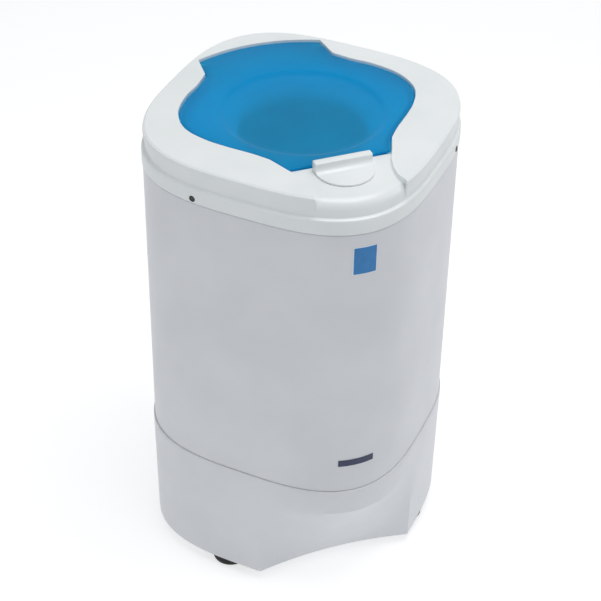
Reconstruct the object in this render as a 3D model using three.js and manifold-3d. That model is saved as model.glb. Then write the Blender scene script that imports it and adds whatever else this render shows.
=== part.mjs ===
// A domestic laundry spin dryer: a tall rounded-diamond cabinet on a base shell, a top cover with a
// translucent lid and a thumb latch, and inside it a fixed water tub, a perforated drum on the shaft
// of a motor that stands on three springs, and a brake that the latch works.
// Millimetres, +Z up, front at -Y, origin on the floor under the middle of the body.
import * as THREE from 'three';
import { mergeVertices } from 'three/addons/utils/BufferGeometryUtils.js';
import Module from 'manifold-3d';

const wasm = await Module();
wasm.setup();

// ---------------------------------------------------------------- driving dimensions (mm)
const GAP = 0.3;                 // clearance between pieces that touch
const RUN = 0.3;                 // radial running clearance on the shaft

// plan of the body: a rounded square turned 45 degrees
const HALF_WIDTH = 204;          // centre to left or right corner
const HALF_DEPTH = 212;          // centre to front or back corner
const SQUARENESS = 3.08;         // superellipse exponent of the rounded square
const REAR_STEPS = 42;           // outline points from one toe crease round the back to the other
const TOE_STEPS = 14;            // outline points across the front corner
const TOE_ANGLE = 42.4;          // half of the front corner that the toe recess takes, degrees

// heights
const FOOT_SHOWING = 14;         // floor to the base shell's lower edge
const CREASE_Z = 185;            // seam of base shell and cabinet
const BAND_Z = 585;              // lower edge of the top cover's band
const BAND_OVERLAP = 10;         // how far the cabinet reaches up inside the band
const BAND_HEIGHT = 20;
const RING_HEIGHT = 28;
const CABINET_TOP_Z = BAND_Z + BAND_OVERLAP;
const LEDGE_Z = BAND_Z + BAND_HEIGHT;
const RING_Z = LEDGE_Z + RING_HEIGHT;

// walls
const SHELL_WALL = 3;            // base shell, cabinet and cover
const TUB_WALL = 2.5;
const DRUM_WALL = 1.5;

// how far each level lies inside the plan outline
const BOTTOM_INSET = 3.4;
const CREASE_LOWER_INSET = 0.8;
const CREASE_UPPER_INSET = 2.7;
const BODY_TOP_INSET = 1.3;
const BAND_THICKNESS = 2.7;

// toe recess at the front of the base shell
const TOE_TOP_Z = 148;
const TOE_HALF_WIDTH = 109;
const TOE_CORNER_Y = -147.5;
const TOE_MIDDLE_Y = -136;
const TOE_LEVELS = [58, 103, TOE_TOP_Z];

// base shell inside
const PLATE_Z = 20.2;            // underside of the base plate
const PLATE_THICKNESS = 2.5;
const LIP_WIDTH = 11;
const PLATE_CLEARANCE = 1;       // base plate's edge to the shell's wall
const DECK_Z = 200;              // top of the deck that carries the tub
const DECK_HOLE_R = 142;

// feet
const FOOT_FROM_SIDE = 74.5;       // from the body's side corner and front corner to the foot's middle
const FOOT_FROM_FRONT = 125;
const FOOT_X = HALF_WIDTH - FOOT_FROM_SIDE;
const FOOT_Y = HALF_DEPTH - FOOT_FROM_FRONT;
const FOOT_R = 24;
const FOOT_STEM_R = 5;

// lid
const LID_SUNK = 2;              // lid's top below the ring
const LID_TOP_Z = RING_Z - LID_SUNK;
const LID_PLATE = 3;
const LID_GAP = 1.6;             // gap round the lid in its pocket
const LID_RIM_INSET = 4;
const LID_RIM_WALL = 2.5;
const LID_FRONT_Y = -120;
const LID_BACK_Y = 177.5;
const LID_EAR_X = 82;
const LID_EAR_Y = 160;
const LID_FRONT_EAR_X = 66;
// right-hand side of the lid from the hinge ear's notch to the front shoulder
const LID_SIDE = [[85, 123], [103, 100], [123, 80], [142, 52], [149.5, 25], [148, 0],
  [134.5, -27], [116, -50], [92.5, -75], [76.5, -95]];
const LID_SIDE_STEPS = 18;
const POCKET_DEPTH = 16;
const POCKET_FLOOR_Z = RING_Z - POCKET_DEPTH;  // top of the lip that the lid rests on
const POCKET_LIP = 10;
const HINGE_Y = 156;
const HINGE_DEPTH = 6;           // hinge axis below the ring
const HINGE_Z = RING_Z - HINGE_DEPTH;
const HINGE_PIN_R = 2;
const HINGE_PIN_LENGTH = 21;
const HINGE_LUG = 7;             // thickness of the lid's hinge lug
const HINGE_LUG_X = 73;
const HINGE_LUG_R = 4;
const WELL_DEPTH = 34.5;         // well behind the hinge, for the lid's rear edge
const WELL_FLOOR_Z = RING_Z - WELL_DEPTH;
const WELL_AHEAD = 1.5;          // well's front edge ahead of the hinge axis
const WELL_FRONT_Y = HINGE_Y - WELL_AHEAD;
const WELL_UNDERCUT = 5;         // how far the well runs back under the ring, for the lid's swing
const WELL_ROOF = 2.7;           // thickness of the ring over that undercut
const WELL_TOP_Z = RING_Z - WELL_ROOF;

// valley in the ring's front, with the latch in it
const VALLEY_HALF_WIDTH = 58;
const VALLEY_DEPTH = 5.5;
const VALLEY_Z = RING_Z - VALLEY_DEPTH;
const VALLEY_ROLL = [[0, 0], [-10, -2.5], [-17, -8], [-21.3, -15.5], [-23, -22]];  // [y, z] at its front
const VALLEY_ROLL_DEPTH = 26;    // from the front corner back to where the floor starts to roll down
const VALLEY_FLAT_Y = VALLEY_ROLL_DEPTH - HALF_DEPTH;

// latch
const LATCH_TRAVEL = 12;
const RIB_HALF_WIDTH = 36;
const RIB_REAR_Y = -126;
const RIB_FRONT_Y = -137;
const RIB_RISE = 9;
const RIB_Z = RING_Z + RIB_RISE;
const PAD_FRONT_Y = -175;
const PAD_THICKNESS = 2.5;
const BOLT_HALF_WIDTH = 7;
const BOLT_DEPTH = 14;
const BOLT_Z = RING_Z - BOLT_DEPTH;
const BOLT_THICKNESS = 4.5;
const STEM_REAR_Y = -142;
const STEM_FRONT_Y = -154;
const LUG_DEPTH = 4;             // lug on the bolt that works the switch
const LUG_X = 20;
const LUG_OVERLAP = 1;           // how far the lug runs into the stem

// lid switch
const SWITCH_LENGTH = 22;
const SWITCH_STROKE = 3;
const PLUNGER_R = 1.8;

// cover screws
const SCREW_TURN = -78.4;        // place along the outline, degrees
const SCREW_HEAD_R = 4.2;
const SCREW_HEAD_H = 1.2;
const SCREW_SHANK_R = 1.6;
const SCREW_LENGTH = 12;
const SCREW_RECESS = 1.7;
const SCREW_RISE = 5.8;          // above the band's lower edge
const SCREW_Z = BAND_Z + SCREW_RISE;

// tub and splash collar
const TUB_R = 148;               // inside
const TUB_FLOOR_Z = 234.5;       // inside, at the wall
const NECK_R = 30;
const NECK_TOP_Z = 243.5;
const NECK_BOTTOM_Z = 229;
const TUB_FLOOR_RISE = 5;        // from the wall up to the neck
const BOOT_GRIP = 7;             // how far the boot goes up round the neck
const BOOT_DROP = 16;            // depth of its fold under the neck
const BOOT_WALL = 2;
const TUB_LEDGE = 2;             // ledge in the tub's wall that carries its floor
const COLLAR_DROP = 3.3;         // collar's top below the pocket's floor
const COLLAR_TOP_Z = POCKET_FLOOR_Z - COLLAR_DROP;
const COLLAR_HEIGHT = 15.7;      // collar's top over the tub's top
const TUB_TOP_Z = COLLAR_TOP_Z - COLLAR_HEIGHT;
const COLLAR_WALL = 2.5;
const COLLAR_REACH = 8;          // past the tub's inside
const COLLAR_GRIP = 6;           // how far its ring goes down round the tub's top
const COLLAR_INSET = 6;          // inside the lid's outline
const COLLAR_TO_HINGE = 14;      // its straight rear edge to the hinge axis, for the lid's swing
const FUNNEL_R = 106;
const MOUTH_R = 80;
const FUNNEL_DEPTH = 14.7;
const MOUTH_Z = COLLAR_TOP_Z - FUNNEL_DEPTH;

// drum
const DRUM_R = 130;
const DRUM_FLOOR_Z = 262;
const DRUM_BELOW_TUB = 10;       // drum's top below the tub's top
const DRUM_TOP_Z = TUB_TOP_Z - DRUM_BELOW_TUB;
const DRUM_MOUTH_R = 86;
const DRUM_SHOULDER = 20;        // height of the shoulder round the mouth
const RIM_DEPTH = 5;             // rim's collar down into the mouth
const RIM_WALL = 2.7;
const RIM_REACH = 5;             // rim's flange out over the drum's top
const RIM_RISE = 3.4;
const DRUM_HOLE_R = 4;
const DRUM_HOLE_ROWS = 3;
const DRUM_HOLES_ROUND = 7;

// drum hub, its nut and its cap
const HUB_R = 40;
const HUB_BOSS = 5;              // wall of the boss round the shaft
const HUB_HEIGHT = 20;
const HUB_DISC = 8;
const HUB_SKIRT = 15;            // depth of the flinger rim
const NUT_R = 13;
const NUT_HEIGHT = 9;
const CAP_R = 42;
const CAP_HEIGHT = 36;
const CAP_WALL = 3;
const CAP_SHOULDER_R = 30;
const CAP_SHOULDER_H = 22;
const CAP_CROWN_R = 14;

// motor unit
const SHAFT_R = 7;
const SHAFT_BOTTOM_Z = 32;
const SHAFT_TOP_Z = 292;
const MOTOR_R = 62;
const MOTOR_WALL = 2.5;
const MOTOR_BOTTOM_Z = 72;
const MOTOR_PLATE_Z = 190;       // underside
const MOTOR_PLATE_THICKNESS = 3;
const CORE_RISE = 25;            // stator core over the motor's lower edge
const CORE_HEIGHT = 67;
const WINDING_HEIGHT = 12;       // winding heads over and under the core
const WINDING_INSET = 4;
const STATOR_BORE_R = 38;
const AIR_GAP = 0.8;
const FAN_R = 46;
const FAN_HUB_R = 13;
const FAN_HEIGHT = 10;
const FAN_SHEET = 1.5;           // disc and blades
const FAN_BLADES = 6;
const SUSPENSION_R = 100;        // circle of the three springs
const SUSPENSION_TURNS = [90, 210, 330];
const POST_TOP_Z = 118;
const POST_R = 13;
const POST_FLANGE = 6;
const STUD_R = 4;
const STUD_SLIP = 2.5;           // stud's play in its post
const STUD_DEPTH = 12;           // how far the stud stands in its post
const STUD_HEAD_H = 4.7;
const SPRING_R = 10.5;           // to the middle of the wire
const SPRING_WIRE_R = 1.6;
const SPRING_TURNS = 5;
const BEARING_R = 17.5;
const SLEEVE_R = 16;
const SLEEVE_TOP_Z = 232;
const SLEEVE_FLANGE = 14;        // flange past the bearing

// brake
const BRAKE_DRUM_R = 44;
const BRAKE_DRUM_Z = 38;
const BRAKE_DRUM_H = 12;
const BRAKE_GAP = 1.6;
const BRAKE_PIVOT = [-62, -30];
const BRAKE_PIN_R = 3;
const BRAKE_ARM_WIDTH = 6;
const LINING_THICKNESS = 3.5;
const LEVER_ARC = [6, 76];       // degrees from the pivot's direction, round the drum
const LINING_ARC = [36, 66];
const LEVER_BRIDGE = 14;         // degrees that join the arm to its pivot
const LEVER_TAIL = 26;           // how far the tail stands out for the cable
const CABLE_R = 2.5;
const CABLE_X = -30;
const CABLE_FROM_FRONT = 32;     // from the front corner back to the cable

// drain and cord inlet, through the base shell's two rear faces
const DRAIN_Z = 110;
const DRAIN_PORT_IN = 70;        // tub's drain port to the face that the spout stands in
const DRAIN_PORT_LENGTH = 20;    // pipe under the tub's floor that the hose goes over
const DRAIN_PIPE_R = 10;
const DRAIN_WALL = 2.2;
const HOSE_WALL = 2.7;
const SPOUT_OUT = 24;            // how far the spout stands out of the face
const GLAND_R = 8;

// capacitor on the base plate
const CAPACITOR_PLACE = [-104, 68];
const CAPACITOR_R = 19;
const CAPACITOR_HEIGHT = 71;
const TERMINAL_R = 5;
const TERMINAL_HEIGHT = 8;

// badge and plain plate on the front corner
const BADGE_WIDTH = 31;
const BADGE_BELOW_BAND = 58;
const BADGE_BOTTOM_Z = BAND_Z - BADGE_BELOW_BAND;
const BADGE_HEIGHT = 40;
const PLATE_WIDTH = 48;
const PLATE_OVER_CREASE = 43;
const PLATE_BOTTOM_Z = CREASE_Z + PLATE_OVER_CREASE;
const PLATE_HEIGHT = 10;
const BADGE_THICKNESS = 0.7;
const BADGE_STAND = 0.4;         // its back to the cabinet's nominal face

const WIDE = 28;                 // sides of the tub, collar and drum
const ROUND = 20;                // sides of middling turned pieces
const FINE = 10;                 // sides of small turned pieces

// ---------------------------------------------------------------- colours
const colour = {
  whitePlastic: { color: 0xe2e6e8, roughness: 0.35, metalness: 0 },
  bodyPlastic: { color: 0xd3d5da, roughness: 0.4, metalness: 0 },
  blueClear: { color: 0x1580bb, roughness: 0.15, metalness: 0 },
  badgeBlue: { color: 0x2a6a9e, roughness: 0.4, metalness: 0 },
  navy: { color: 0x25324f, roughness: 0.4, metalness: 0 },
  rubber: { color: 0x161616, roughness: 0.8, metalness: 0 },
  steel: { color: 0xa9acb0, roughness: 0.35, metalness: 1 },
  darkSteel: { color: 0x2c2d30, roughness: 0.5, metalness: 0.8 },
  aluminium: { color: 0xc4c7ca, roughness: 0.4, metalness: 1 },
  copper: { color: 0x9c5a2e, roughness: 0.45, metalness: 0.6 },
  greyPlastic: { color: 0x8a8f94, roughness: 0.5, metalness: 0 },
};

// ---------------------------------------------------------------- solids
/** A manifold solid from any closed three.js geometry; faces are turned out if they point in. */
function solid(geometry) {
  const bare = geometry.clone();
  for (const name of Object.keys(bare.attributes)) if (name !== 'position') bare.deleteAttribute(name);
  const merged = mergeVertices(bare, 1e-4);
  const position = merged.attributes.position;
  const kept = [];
  let volume = 0;
  const a = new THREE.Vector3();
  const b = new THREE.Vector3();
  const c = new THREE.Vector3();
  for (let i = 0; i < merged.index.count; i += 3) {
    const [p, q, r] = [0, 1, 2].map((k) => merged.index.getX(i + k));
    if (p === q || q === r || r === p) continue;
    kept.push(p, q, r);
    a.fromBufferAttribute(position, p);
    b.fromBufferAttribute(position, q);
    c.fromBufferAttribute(position, r);
    volume += a.dot(b.cross(c));
  }
  if (volume < 0) for (let i = 0; i < kept.length; i += 3) [kept[i], kept[i + 1]] = [kept[i + 1], kept[i]];
  return new wasm.Manifold(new wasm.Mesh({
    numProp: 3,
    vertProperties: new Float32Array(position.array),
    triVerts: new Uint32Array(kept),
  }));
}

/** The three.js geometry of a solid. */
function geometryOf(body) {
  const mesh = body.getMesh();
  const geometry = new THREE.BufferGeometry();
  geometry.setAttribute('position', new THREE.BufferAttribute(new Float32Array(mesh.vertProperties), 3));
  geometry.setIndex(new THREE.BufferAttribute(new Uint32Array(mesh.triVerts), 1));
  return geometry;
}

/** Turned about Z from a closed [r, z] profile. */
function turned(profile, sides = ROUND) {
  const points = [...profile, profile[0]].map(([r, z]) => new THREE.Vector2(r, z));
  return solid(new THREE.LatheGeometry(points, sides).rotateX(Math.PI / 2));
}

/** A plain disc or tube about Z. */
function tube(outer, inner, z0, z1, sides = ROUND) {
  return turned([[inner, z0], [outer, z0], [outer, z1], [inner, z1]], sides);
}

/** A plan outline of [x, y] points raised from z0 to z1. */
function prism(points, z0, z1) {
  const shape = new THREE.Shape(points.map(([x, y]) => new THREE.Vector2(x, y)));
  const geometry = new THREE.ExtrudeGeometry(shape, { depth: z1 - z0, bevelEnabled: false });
  return solid(geometry.translate(0, 0, z0));
}

/** A side outline of [y, z] points carried from x0 to x1. */
function crosswise(points, x0, x1) {
  const shape = new THREE.Shape(points.map(([y, z]) => new THREE.Vector2(y, z)));
  const geometry = new THREE.ExtrudeGeometry(shape, { depth: x1 - x0, bevelEnabled: false });
  const turn = new THREE.Matrix4().set(0, 0, 1, x0, 1, 0, 0, 0, 0, 1, 0, 0, 0, 0, 0, 1);
  return solid(geometry.applyMatrix4(turn));
}

function block(x0, x1, y0, y1, z0, z1) {
  const box = new THREE.BoxGeometry(x1 - x0, y1 - y0, z1 - z0);
  return solid(box.translate((x0 + x1) / 2, (y0 + y1) / 2, (z0 + z1) / 2));
}

/** A tube or rod of the given radii along a straight line between two points. */
function rod(from, to, outer, inner = 0, sides = FINE) {
  const start = new THREE.Vector3(...from);
  const span = new THREE.Vector3(...to).sub(start);
  const length = span.length();
  const profile = [[inner, 0], [outer, 0], [outer, length], [inner, length]];
  return placed(turned(profile, sides), start, span.normalize());
}

/** A round cutter whose flats, not its corners, lie at the given radius. */
function bore(from, to, radius, sides = FINE) {
  return rod(from, to, radius / Math.cos(Math.PI / sides), 0, sides);
}

/** A solid whose own Z is turned to the given direction and moved to the given place. */
function placed(body, origin, direction) {
  const turn = new THREE.Quaternion().setFromUnitVectors(new THREE.Vector3(0, 0, 1), direction);
  const matrix = new THREE.Matrix4().compose(origin, turn, new THREE.Vector3(1, 1, 1));
  return solid(geometryOf(body).applyMatrix4(matrix));
}

/** A closed skin through rings that each have the same number of points; the ends are capped flat. */
function lofted(rings, closed = false) {
  const count = rings[0].length;
  const position = rings.flat(2);
  const index = [];
  const bands = closed ? rings.length : rings.length - 1;
  for (let i = 0; i < bands; i += 1) {
    const next = (i + 1) % rings.length;
    for (let k = 0; k < count; k += 1) {
      const m = (k + 1) % count;
      index.push(i * count + k, i * count + m, next * count + m);
      index.push(i * count + k, next * count + m, next * count + k);
    }
  }
  if (!closed) {
    for (const ring of [0, rings.length - 1]) {
      const flat = rings[ring].map(([x, y]) => new THREE.Vector2(x, y));
      for (const [p, q, r] of THREE.ShapeUtils.triangulateShape(flat, [])) {
        if (ring === 0) index.push(r, q, p);
        else index.push(p + ring * count, q + ring * count, r + ring * count);
      }
    }
  }
  const geometry = new THREE.BufferGeometry();
  geometry.setAttribute('position', new THREE.BufferAttribute(new Float32Array(position), 3));
  geometry.setIndex(index);
  return solid(geometry);
}

// ---------------------------------------------------------------- plan outline of the body
const radians = THREE.MathUtils.degToRad;
const FRONT_TURN = -135;

/** Outline parameters, the same from left to right, with a point on each crease of the toe recess. */
function planTurns() {
  const turns = [];
  for (let i = 0; i < TOE_STEPS; i += 1) {
    turns.push(FRONT_TURN - TOE_ANGLE + (2 * TOE_ANGLE * i) / TOE_STEPS);
  }
  const rest = 360 - 2 * TOE_ANGLE;
  for (let i = 0; i < REAR_STEPS; i += 1) turns.push(FRONT_TURN + TOE_ANGLE + (rest * i) / REAR_STEPS);
  return turns;
}
const TURNS = planTurns();

/** A point of the plan outline at a parameter, with its outward normal. */
function planPoint(turn, inset = 0) {
  const power = 2 / SQUARENESS;
  const widen = 2 ** (0.5 - 1 / SQUARENESS);
  const c = Math.cos(radians(turn));
  const s = Math.sin(radians(turn));
  const u = Math.sign(c) * Math.abs(c) ** power;
  const v = Math.sign(s) * Math.abs(s) ** power;
  const halfWidth = HALF_WIDTH - inset;
  const halfDepth = HALF_DEPTH - inset;
  const gu = Math.sign(u) * Math.abs(u) ** (SQUARENESS - 1);
  const gv = Math.sign(v) * Math.abs(v) ** (SQUARENESS - 1);
  const normal = new THREE.Vector3((gu - gv) / halfWidth, (gu + gv) / halfDepth, 0).normalize();
  const x = ((u - v) / Math.SQRT2 / widen) * halfWidth;
  const y = ((u + v) / Math.SQRT2 / widen) * halfDepth;
  return { x, y, normal };
}

/** The outline as a ring of points at a height. */
function ring(z, inset) {
  return TURNS.map((turn) => {
    const { x, y } = planPoint(turn, inset);
    return [x, y, z];
  });
}

/** The outline's ring with the front corner drawn back, fully at the bottom and not at all at its top. */
function toeRing(z, inset, wall = 0) {
  const depth = THREE.MathUtils.clamp((TOE_TOP_Z - z) / (TOE_TOP_Z - FOOT_SHOWING), 0, 1);
  const plain = ring(z, inset);
  const creaseX = plain[TOE_STEPS][0];
  return plain.map(([x, y], i) => {
    if (i > TOE_STEPS) return [x, y, z];
    const across = x / creaseX;
    const panelX = across * (TOE_HALF_WIDTH - wall);
    const panelY = TOE_MIDDLE_Y + (TOE_CORNER_Y - TOE_MIDDLE_Y) * across * across + wall;
    const edge = i === 0 || i === TOE_STEPS;
    if (edge) return [x, y, z];
    return [x + (panelX - x) * depth, y + (panelY - y) * depth, z];
  });
}

/** A circle with as many points as the outline, each in its direction from the axis. */
function roundRing(z, radius) {
  return TURNS.map((turn) => {
    const { x, y } = planPoint(turn);
    const scale = radius / Math.hypot(x, y);
    return [x * scale, y * scale, z];
  });
}

/** Outline inset of the base shell's or the cabinet's outside at a height. */
function baseInset(z) {
  return THREE.MathUtils.mapLinear(z, FOOT_SHOWING, CREASE_Z, BOTTOM_INSET, CREASE_LOWER_INSET);
}
function bodyInset(z) {
  return THREE.MathUtils.mapLinear(z, CREASE_Z, BAND_Z, CREASE_UPPER_INSET, BODY_TOP_INSET);
}

/** A plain outline moved in by a distance (out when negative), corner by corner. */
function inward(points, distance) {
  const count = points.length;
  return points.map((point, i) => {
    const before = points[(i + count - 1) % count];
    const after = points[(i + 1) % count];
    const edge = (p, q) => new THREE.Vector2(q[0] - p[0], q[1] - p[1]).normalize();
    const first = edge(before, point);
    const second = edge(point, after);
    const half = first.clone().add(second).normalize();
    const normal = new THREE.Vector2(-half.y, half.x);
    const stretch = distance / Math.max(0.35, normal.dot(new THREE.Vector2(-first.y, first.x)));
    return [point[0] + normal.x * stretch, point[1] + normal.y * stretch];
  });
}

/** The lid's outline, counter-clockwise from the front's middle. */
function lidOutline() {
  const side = new THREE.SplineCurve(LID_SIDE.map(([x, y]) => new THREE.Vector2(x, y)));
  const right = [[LID_FRONT_EAR_X, LID_FRONT_Y]];
  for (const point of side.getPoints(LID_SIDE_STEPS).reverse()) right.push([point.x, point.y]);
  right.push([LID_EAR_X, LID_EAR_Y]);
  const rise = LID_BACK_Y - LID_EAR_Y;
  const backR = (LID_EAR_X ** 2 + rise ** 2) / (2 * rise);
  for (const share of [0.75, 0.5, 0.25]) {
    const x = LID_EAR_X * share;
    right.push([x, LID_BACK_Y - backR + Math.sqrt(backR ** 2 - x ** 2)]);
  }
  const left = right.map(([x, y]) => [-x, y]).reverse();
  return [...right, [0, LID_BACK_Y], ...left];
}
const LID_OUTLINE = lidOutline();

// ---------------------------------------------------------------- the parts
const group = new THREE.Group();
group.name = 'laundry_spin_dryer';

function addPart(name, body, finish) {
  const mesh = new THREE.Mesh(geometryOf(body), new THREE.MeshStandardMaterial(colour[finish]));
  mesh.name = name;
  group.add(mesh);
}

/** Outward direction and surface distance of a rear face (sideways +1 right, -1 left). */
function rearFace(sideways, z) {
  const { x, y, normal } = planPoint(0, baseInset(z));
  const out = new THREE.Vector3(sideways * normal.x, normal.y, 0);
  return { point: new THREE.Vector3(sideways * x, y, z), normal: out };
}

// base shell: skirt with the toe recess and the lip over the base plate; the deck under the tub lies on it
function baseShell() {
  const inner = (z) => baseInset(z) + SHELL_WALL;
  const spigotInset = bodyInset(CREASE_Z) + SHELL_WALL + GAP;
  const deckUnder = DECK_Z - SHELL_WALL;
  const plateTop = PLATE_Z + PLATE_THICKNESS + GAP;
  const lipTop = plateTop + SHELL_WALL;
  const rings = [
    toeRing(FOOT_SHOWING, BOTTOM_INSET),
    ...TOE_LEVELS.map((z) => toeRing(z, baseInset(z))),
    ring(CREASE_Z - 1, baseInset(CREASE_Z)),
    ring(CREASE_Z, baseInset(CREASE_Z) + 1),
    ring(CREASE_Z, spigotInset),
    ring(deckUnder - GAP, spigotInset),
    ring(deckUnder - GAP, spigotInset + SHELL_WALL),
    ring(TOE_TOP_Z, inner(TOE_TOP_Z)),
    toeRing(lipTop, inner(lipTop), SHELL_WALL),
    toeRing(lipTop, inner(lipTop) + LIP_WIDTH, SHELL_WALL + LIP_WIDTH),
    toeRing(plateTop, inner(plateTop) + LIP_WIDTH, SHELL_WALL + LIP_WIDTH),
    toeRing(plateTop, inner(plateTop), SHELL_WALL),
    toeRing(FOOT_SHOWING, BOTTOM_INSET + SHELL_WALL, SHELL_WALL),
  ];
  let body = lofted(rings, true);
  const drain = rearFace(1, DRAIN_Z);
  const cord = rearFace(-1, DRAIN_Z);
  for (const [face, radius] of [[drain, DRAIN_PIPE_R + GAP], [cord, GLAND_R + GAP]]) {
    const from = face.point.clone().addScaledVector(face.normal, -20);
    const to = face.point.clone().addScaledVector(face.normal, 20);
    body = body.subtract(bore(from.toArray(), to.toArray(), radius));
  }
  addPart('base_shell', body, 'bodyPlastic');
  addPart('tub_deck', lofted([
    ring(deckUnder, spigotInset),
    ring(DECK_Z, spigotInset),
    roundRing(DECK_Z, DECK_HOLE_R),
    roundRing(deckUnder, DECK_HOLE_R),
  ], true), 'bodyPlastic');
}

function cabinetShell() {
  const top = CABINET_TOP_Z;
  const bottom = CREASE_Z + GAP;
  const joggle = BAND_THICKNESS + GAP;
  const rings = [
    ring(bottom, bodyInset(bottom)),
    ring(BAND_Z - 2, bodyInset(BAND_Z - 2)),
    ring(BAND_Z - 1, joggle),
    ring(top, joggle),
    ring(top, joggle + SHELL_WALL),
    ring(BAND_Z - 2, joggle + SHELL_WALL),
    ring(BAND_Z - 12, bodyInset(BAND_Z - 12) + SHELL_WALL),
    ring(bottom, bodyInset(bottom) + SHELL_WALL),
  ];
  let body = lofted(rings, true);
  for (const place of screwPlaces()) body = body.subtract(screwHole(place, SCREW_SHANK_R + GAP));
  addPart('cabinet', body, 'bodyPlastic');
}

/** The four screw places: front right, front left, rear right, rear left. */
function screwPlaces() {
  const { x, y, normal } = planPoint(SCREW_TURN);
  const places = [];
  for (const rear of [1, -1]) {
    for (const sideways of [1, -1]) {
      places.push({
        name: `cover_screw_${rear > 0 ? 'front' : 'rear'}_${sideways > 0 ? 'right' : 'left'}`,
        point: new THREE.Vector3(sideways * x, rear * y, SCREW_Z),
        normal: new THREE.Vector3(sideways * normal.x, rear * normal.y, 0),
      });
    }
  }
  return places;
}

function screwHole({ point, normal }, radius) {
  const from = point.clone().addScaledVector(normal, -SCREW_LENGTH - 6);
  const to = point.clone().addScaledVector(normal, 5);
  return bore(from.toArray(), to.toArray(), radius);
}

function coverScrews() {
  for (const place of screwPlaces()) {
    const outer = place.point.clone().addScaledVector(place.normal, -0.2);
    const seat = outer.clone().addScaledVector(place.normal, -SCREW_HEAD_H);
    const tip = outer.clone().addScaledVector(place.normal, -SCREW_LENGTH);
    const shankStart = outer.clone().addScaledVector(place.normal, -SCREW_HEAD_H / 2);
    const head = rod(seat.toArray(), outer.toArray(), SCREW_HEAD_R, 0, 12);
    const shank = rod(tip.toArray(), shankStart.toArray(), SCREW_SHANK_R, 0, 12);
    addPart(place.name, head.add(shank), 'darkSteel');
  }
}

// top cover: band, ledge and ring in one moulding, with the lid's pocket, the well behind the hinge
// and the valley that holds the latch
function topCover() {
  const outside = lofted([
    ring(BAND_Z, 0.6), ring(BAND_Z + 1, 0), ring(LEDGE_Z - 2.5, 0),
    ring(LEDGE_Z - 0.4, 1), ring(LEDGE_Z + 0.4, 3),
    ring(LEDGE_Z + 1.6, 4.4), ring(LEDGE_Z + 4, 4.8), ring(RING_Z - 5, 2.4), ring(RING_Z - 1.8, 3.2),
    ring(RING_Z, 5.8),
  ]);
  const inside = lofted([
    ring(BAND_Z - 1, BAND_THICKNESS), ring(LEDGE_Z - 4.4, BAND_THICKNESS), ring(LEDGE_Z - 3, 7.4),
    ring(LEDGE_Z + 4, 7.8), ring(RING_Z - 7, 5.6), ring(RING_Z - SHELL_WALL, 8.6),
  ]);
  const pocket = inward(LID_OUTLINE, -LID_GAP);
  const floorUnder = POCKET_FLOOR_Z - SHELL_WALL;
  const wellHalf = LID_EAR_X + LID_GAP;
  const wellBack = LID_BACK_Y + LID_GAP;
  const wellUnder = WELL_FLOOR_Z - SHELL_WALL;

  // hollow under the ring, less the material of the pocket, the well and the valley
  let hollow = inside.subtract(prism(inward(LID_OUTLINE, -LID_GAP - SHELL_WALL), floorUnder, RING_Z));
  hollow = hollow.subtract(block(-wellHalf - SHELL_WALL, wellHalf + SHELL_WALL,
    WELL_FRONT_Y, wellBack + WELL_UNDERCUT + SHELL_WALL, wellUnder, RING_Z));
  hollow = hollow.subtract(crosswise(valleySection(SHELL_WALL), -VALLEY_HALF_WIDTH - SHELL_WALL,
    VALLEY_HALF_WIDTH + SHELL_WALL));
  let body = outside.subtract(hollow);

  body = body.subtract(prism(pocket, POCKET_FLOOR_Z, RING_Z + 5));
  body = body.subtract(prism(inward(LID_OUTLINE, POCKET_LIP), floorUnder - 5, RING_Z + 5));
  const rear = pocket.filter(([, y]) => y > LID_EAR_Y - 1);
  const well = (back) => [[wellHalf, WELL_FRONT_Y - 8], ...rear.map(([x, y]) => [x, y + back]),
    [-wellHalf, WELL_FRONT_Y - 8]];
  body = body.subtract(prism(well(0), WELL_FLOOR_Z, RING_Z + 5));
  body = body.subtract(prism(well(WELL_UNDERCUT), WELL_FLOOR_Z, WELL_TOP_Z));
  body = body.subtract(crosswise(valleySection(0), -VALLEY_HALF_WIDTH, VALLEY_HALF_WIDTH));

  // slots of the latch's stem and bolt, hinge pin holes, screw holes
  const slotHalf = BOLT_HALF_WIDTH + 1 + 2 * GAP;
  const slotFront = STEM_FRONT_Y - LATCH_TRAVEL - 2 * GAP;
  body = body.subtract(block(-slotHalf, slotHalf, slotFront, STEM_REAR_Y + 2 * GAP,
    VALLEY_Z - 8, VALLEY_Z + 2));
  const boltHalf = BOLT_HALF_WIDTH + 2 * GAP;
  body = body.subtract(block(-boltHalf, boltHalf, STEM_FRONT_Y, LID_FRONT_Y + 5,
    BOLT_Z - 2 * GAP, BOLT_Z + BOLT_THICKNESS + 2 * GAP));
  for (const sideways of [1, -1]) {
    body = body.subtract(bore([sideways * (LID_EAR_X - 12), HINGE_Y, HINGE_Z],
      [sideways * (LID_EAR_X + 12), HINGE_Y, HINGE_Z], HINGE_PIN_R + GAP));
  }
  for (const place of screwPlaces()) {
    body = body.subtract(screwHole(place, SCREW_SHANK_R + GAP));
    const from = place.point.clone().addScaledVector(place.normal, -SCREW_RECESS);
    const to = place.point.clone().addScaledVector(place.normal, 6);
    body = body.subtract(bore(from.toArray(), to.toArray(), SCREW_HEAD_R + GAP, 12));
  }
  addPart('top_cover', body, 'whitePlastic');
}

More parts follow.
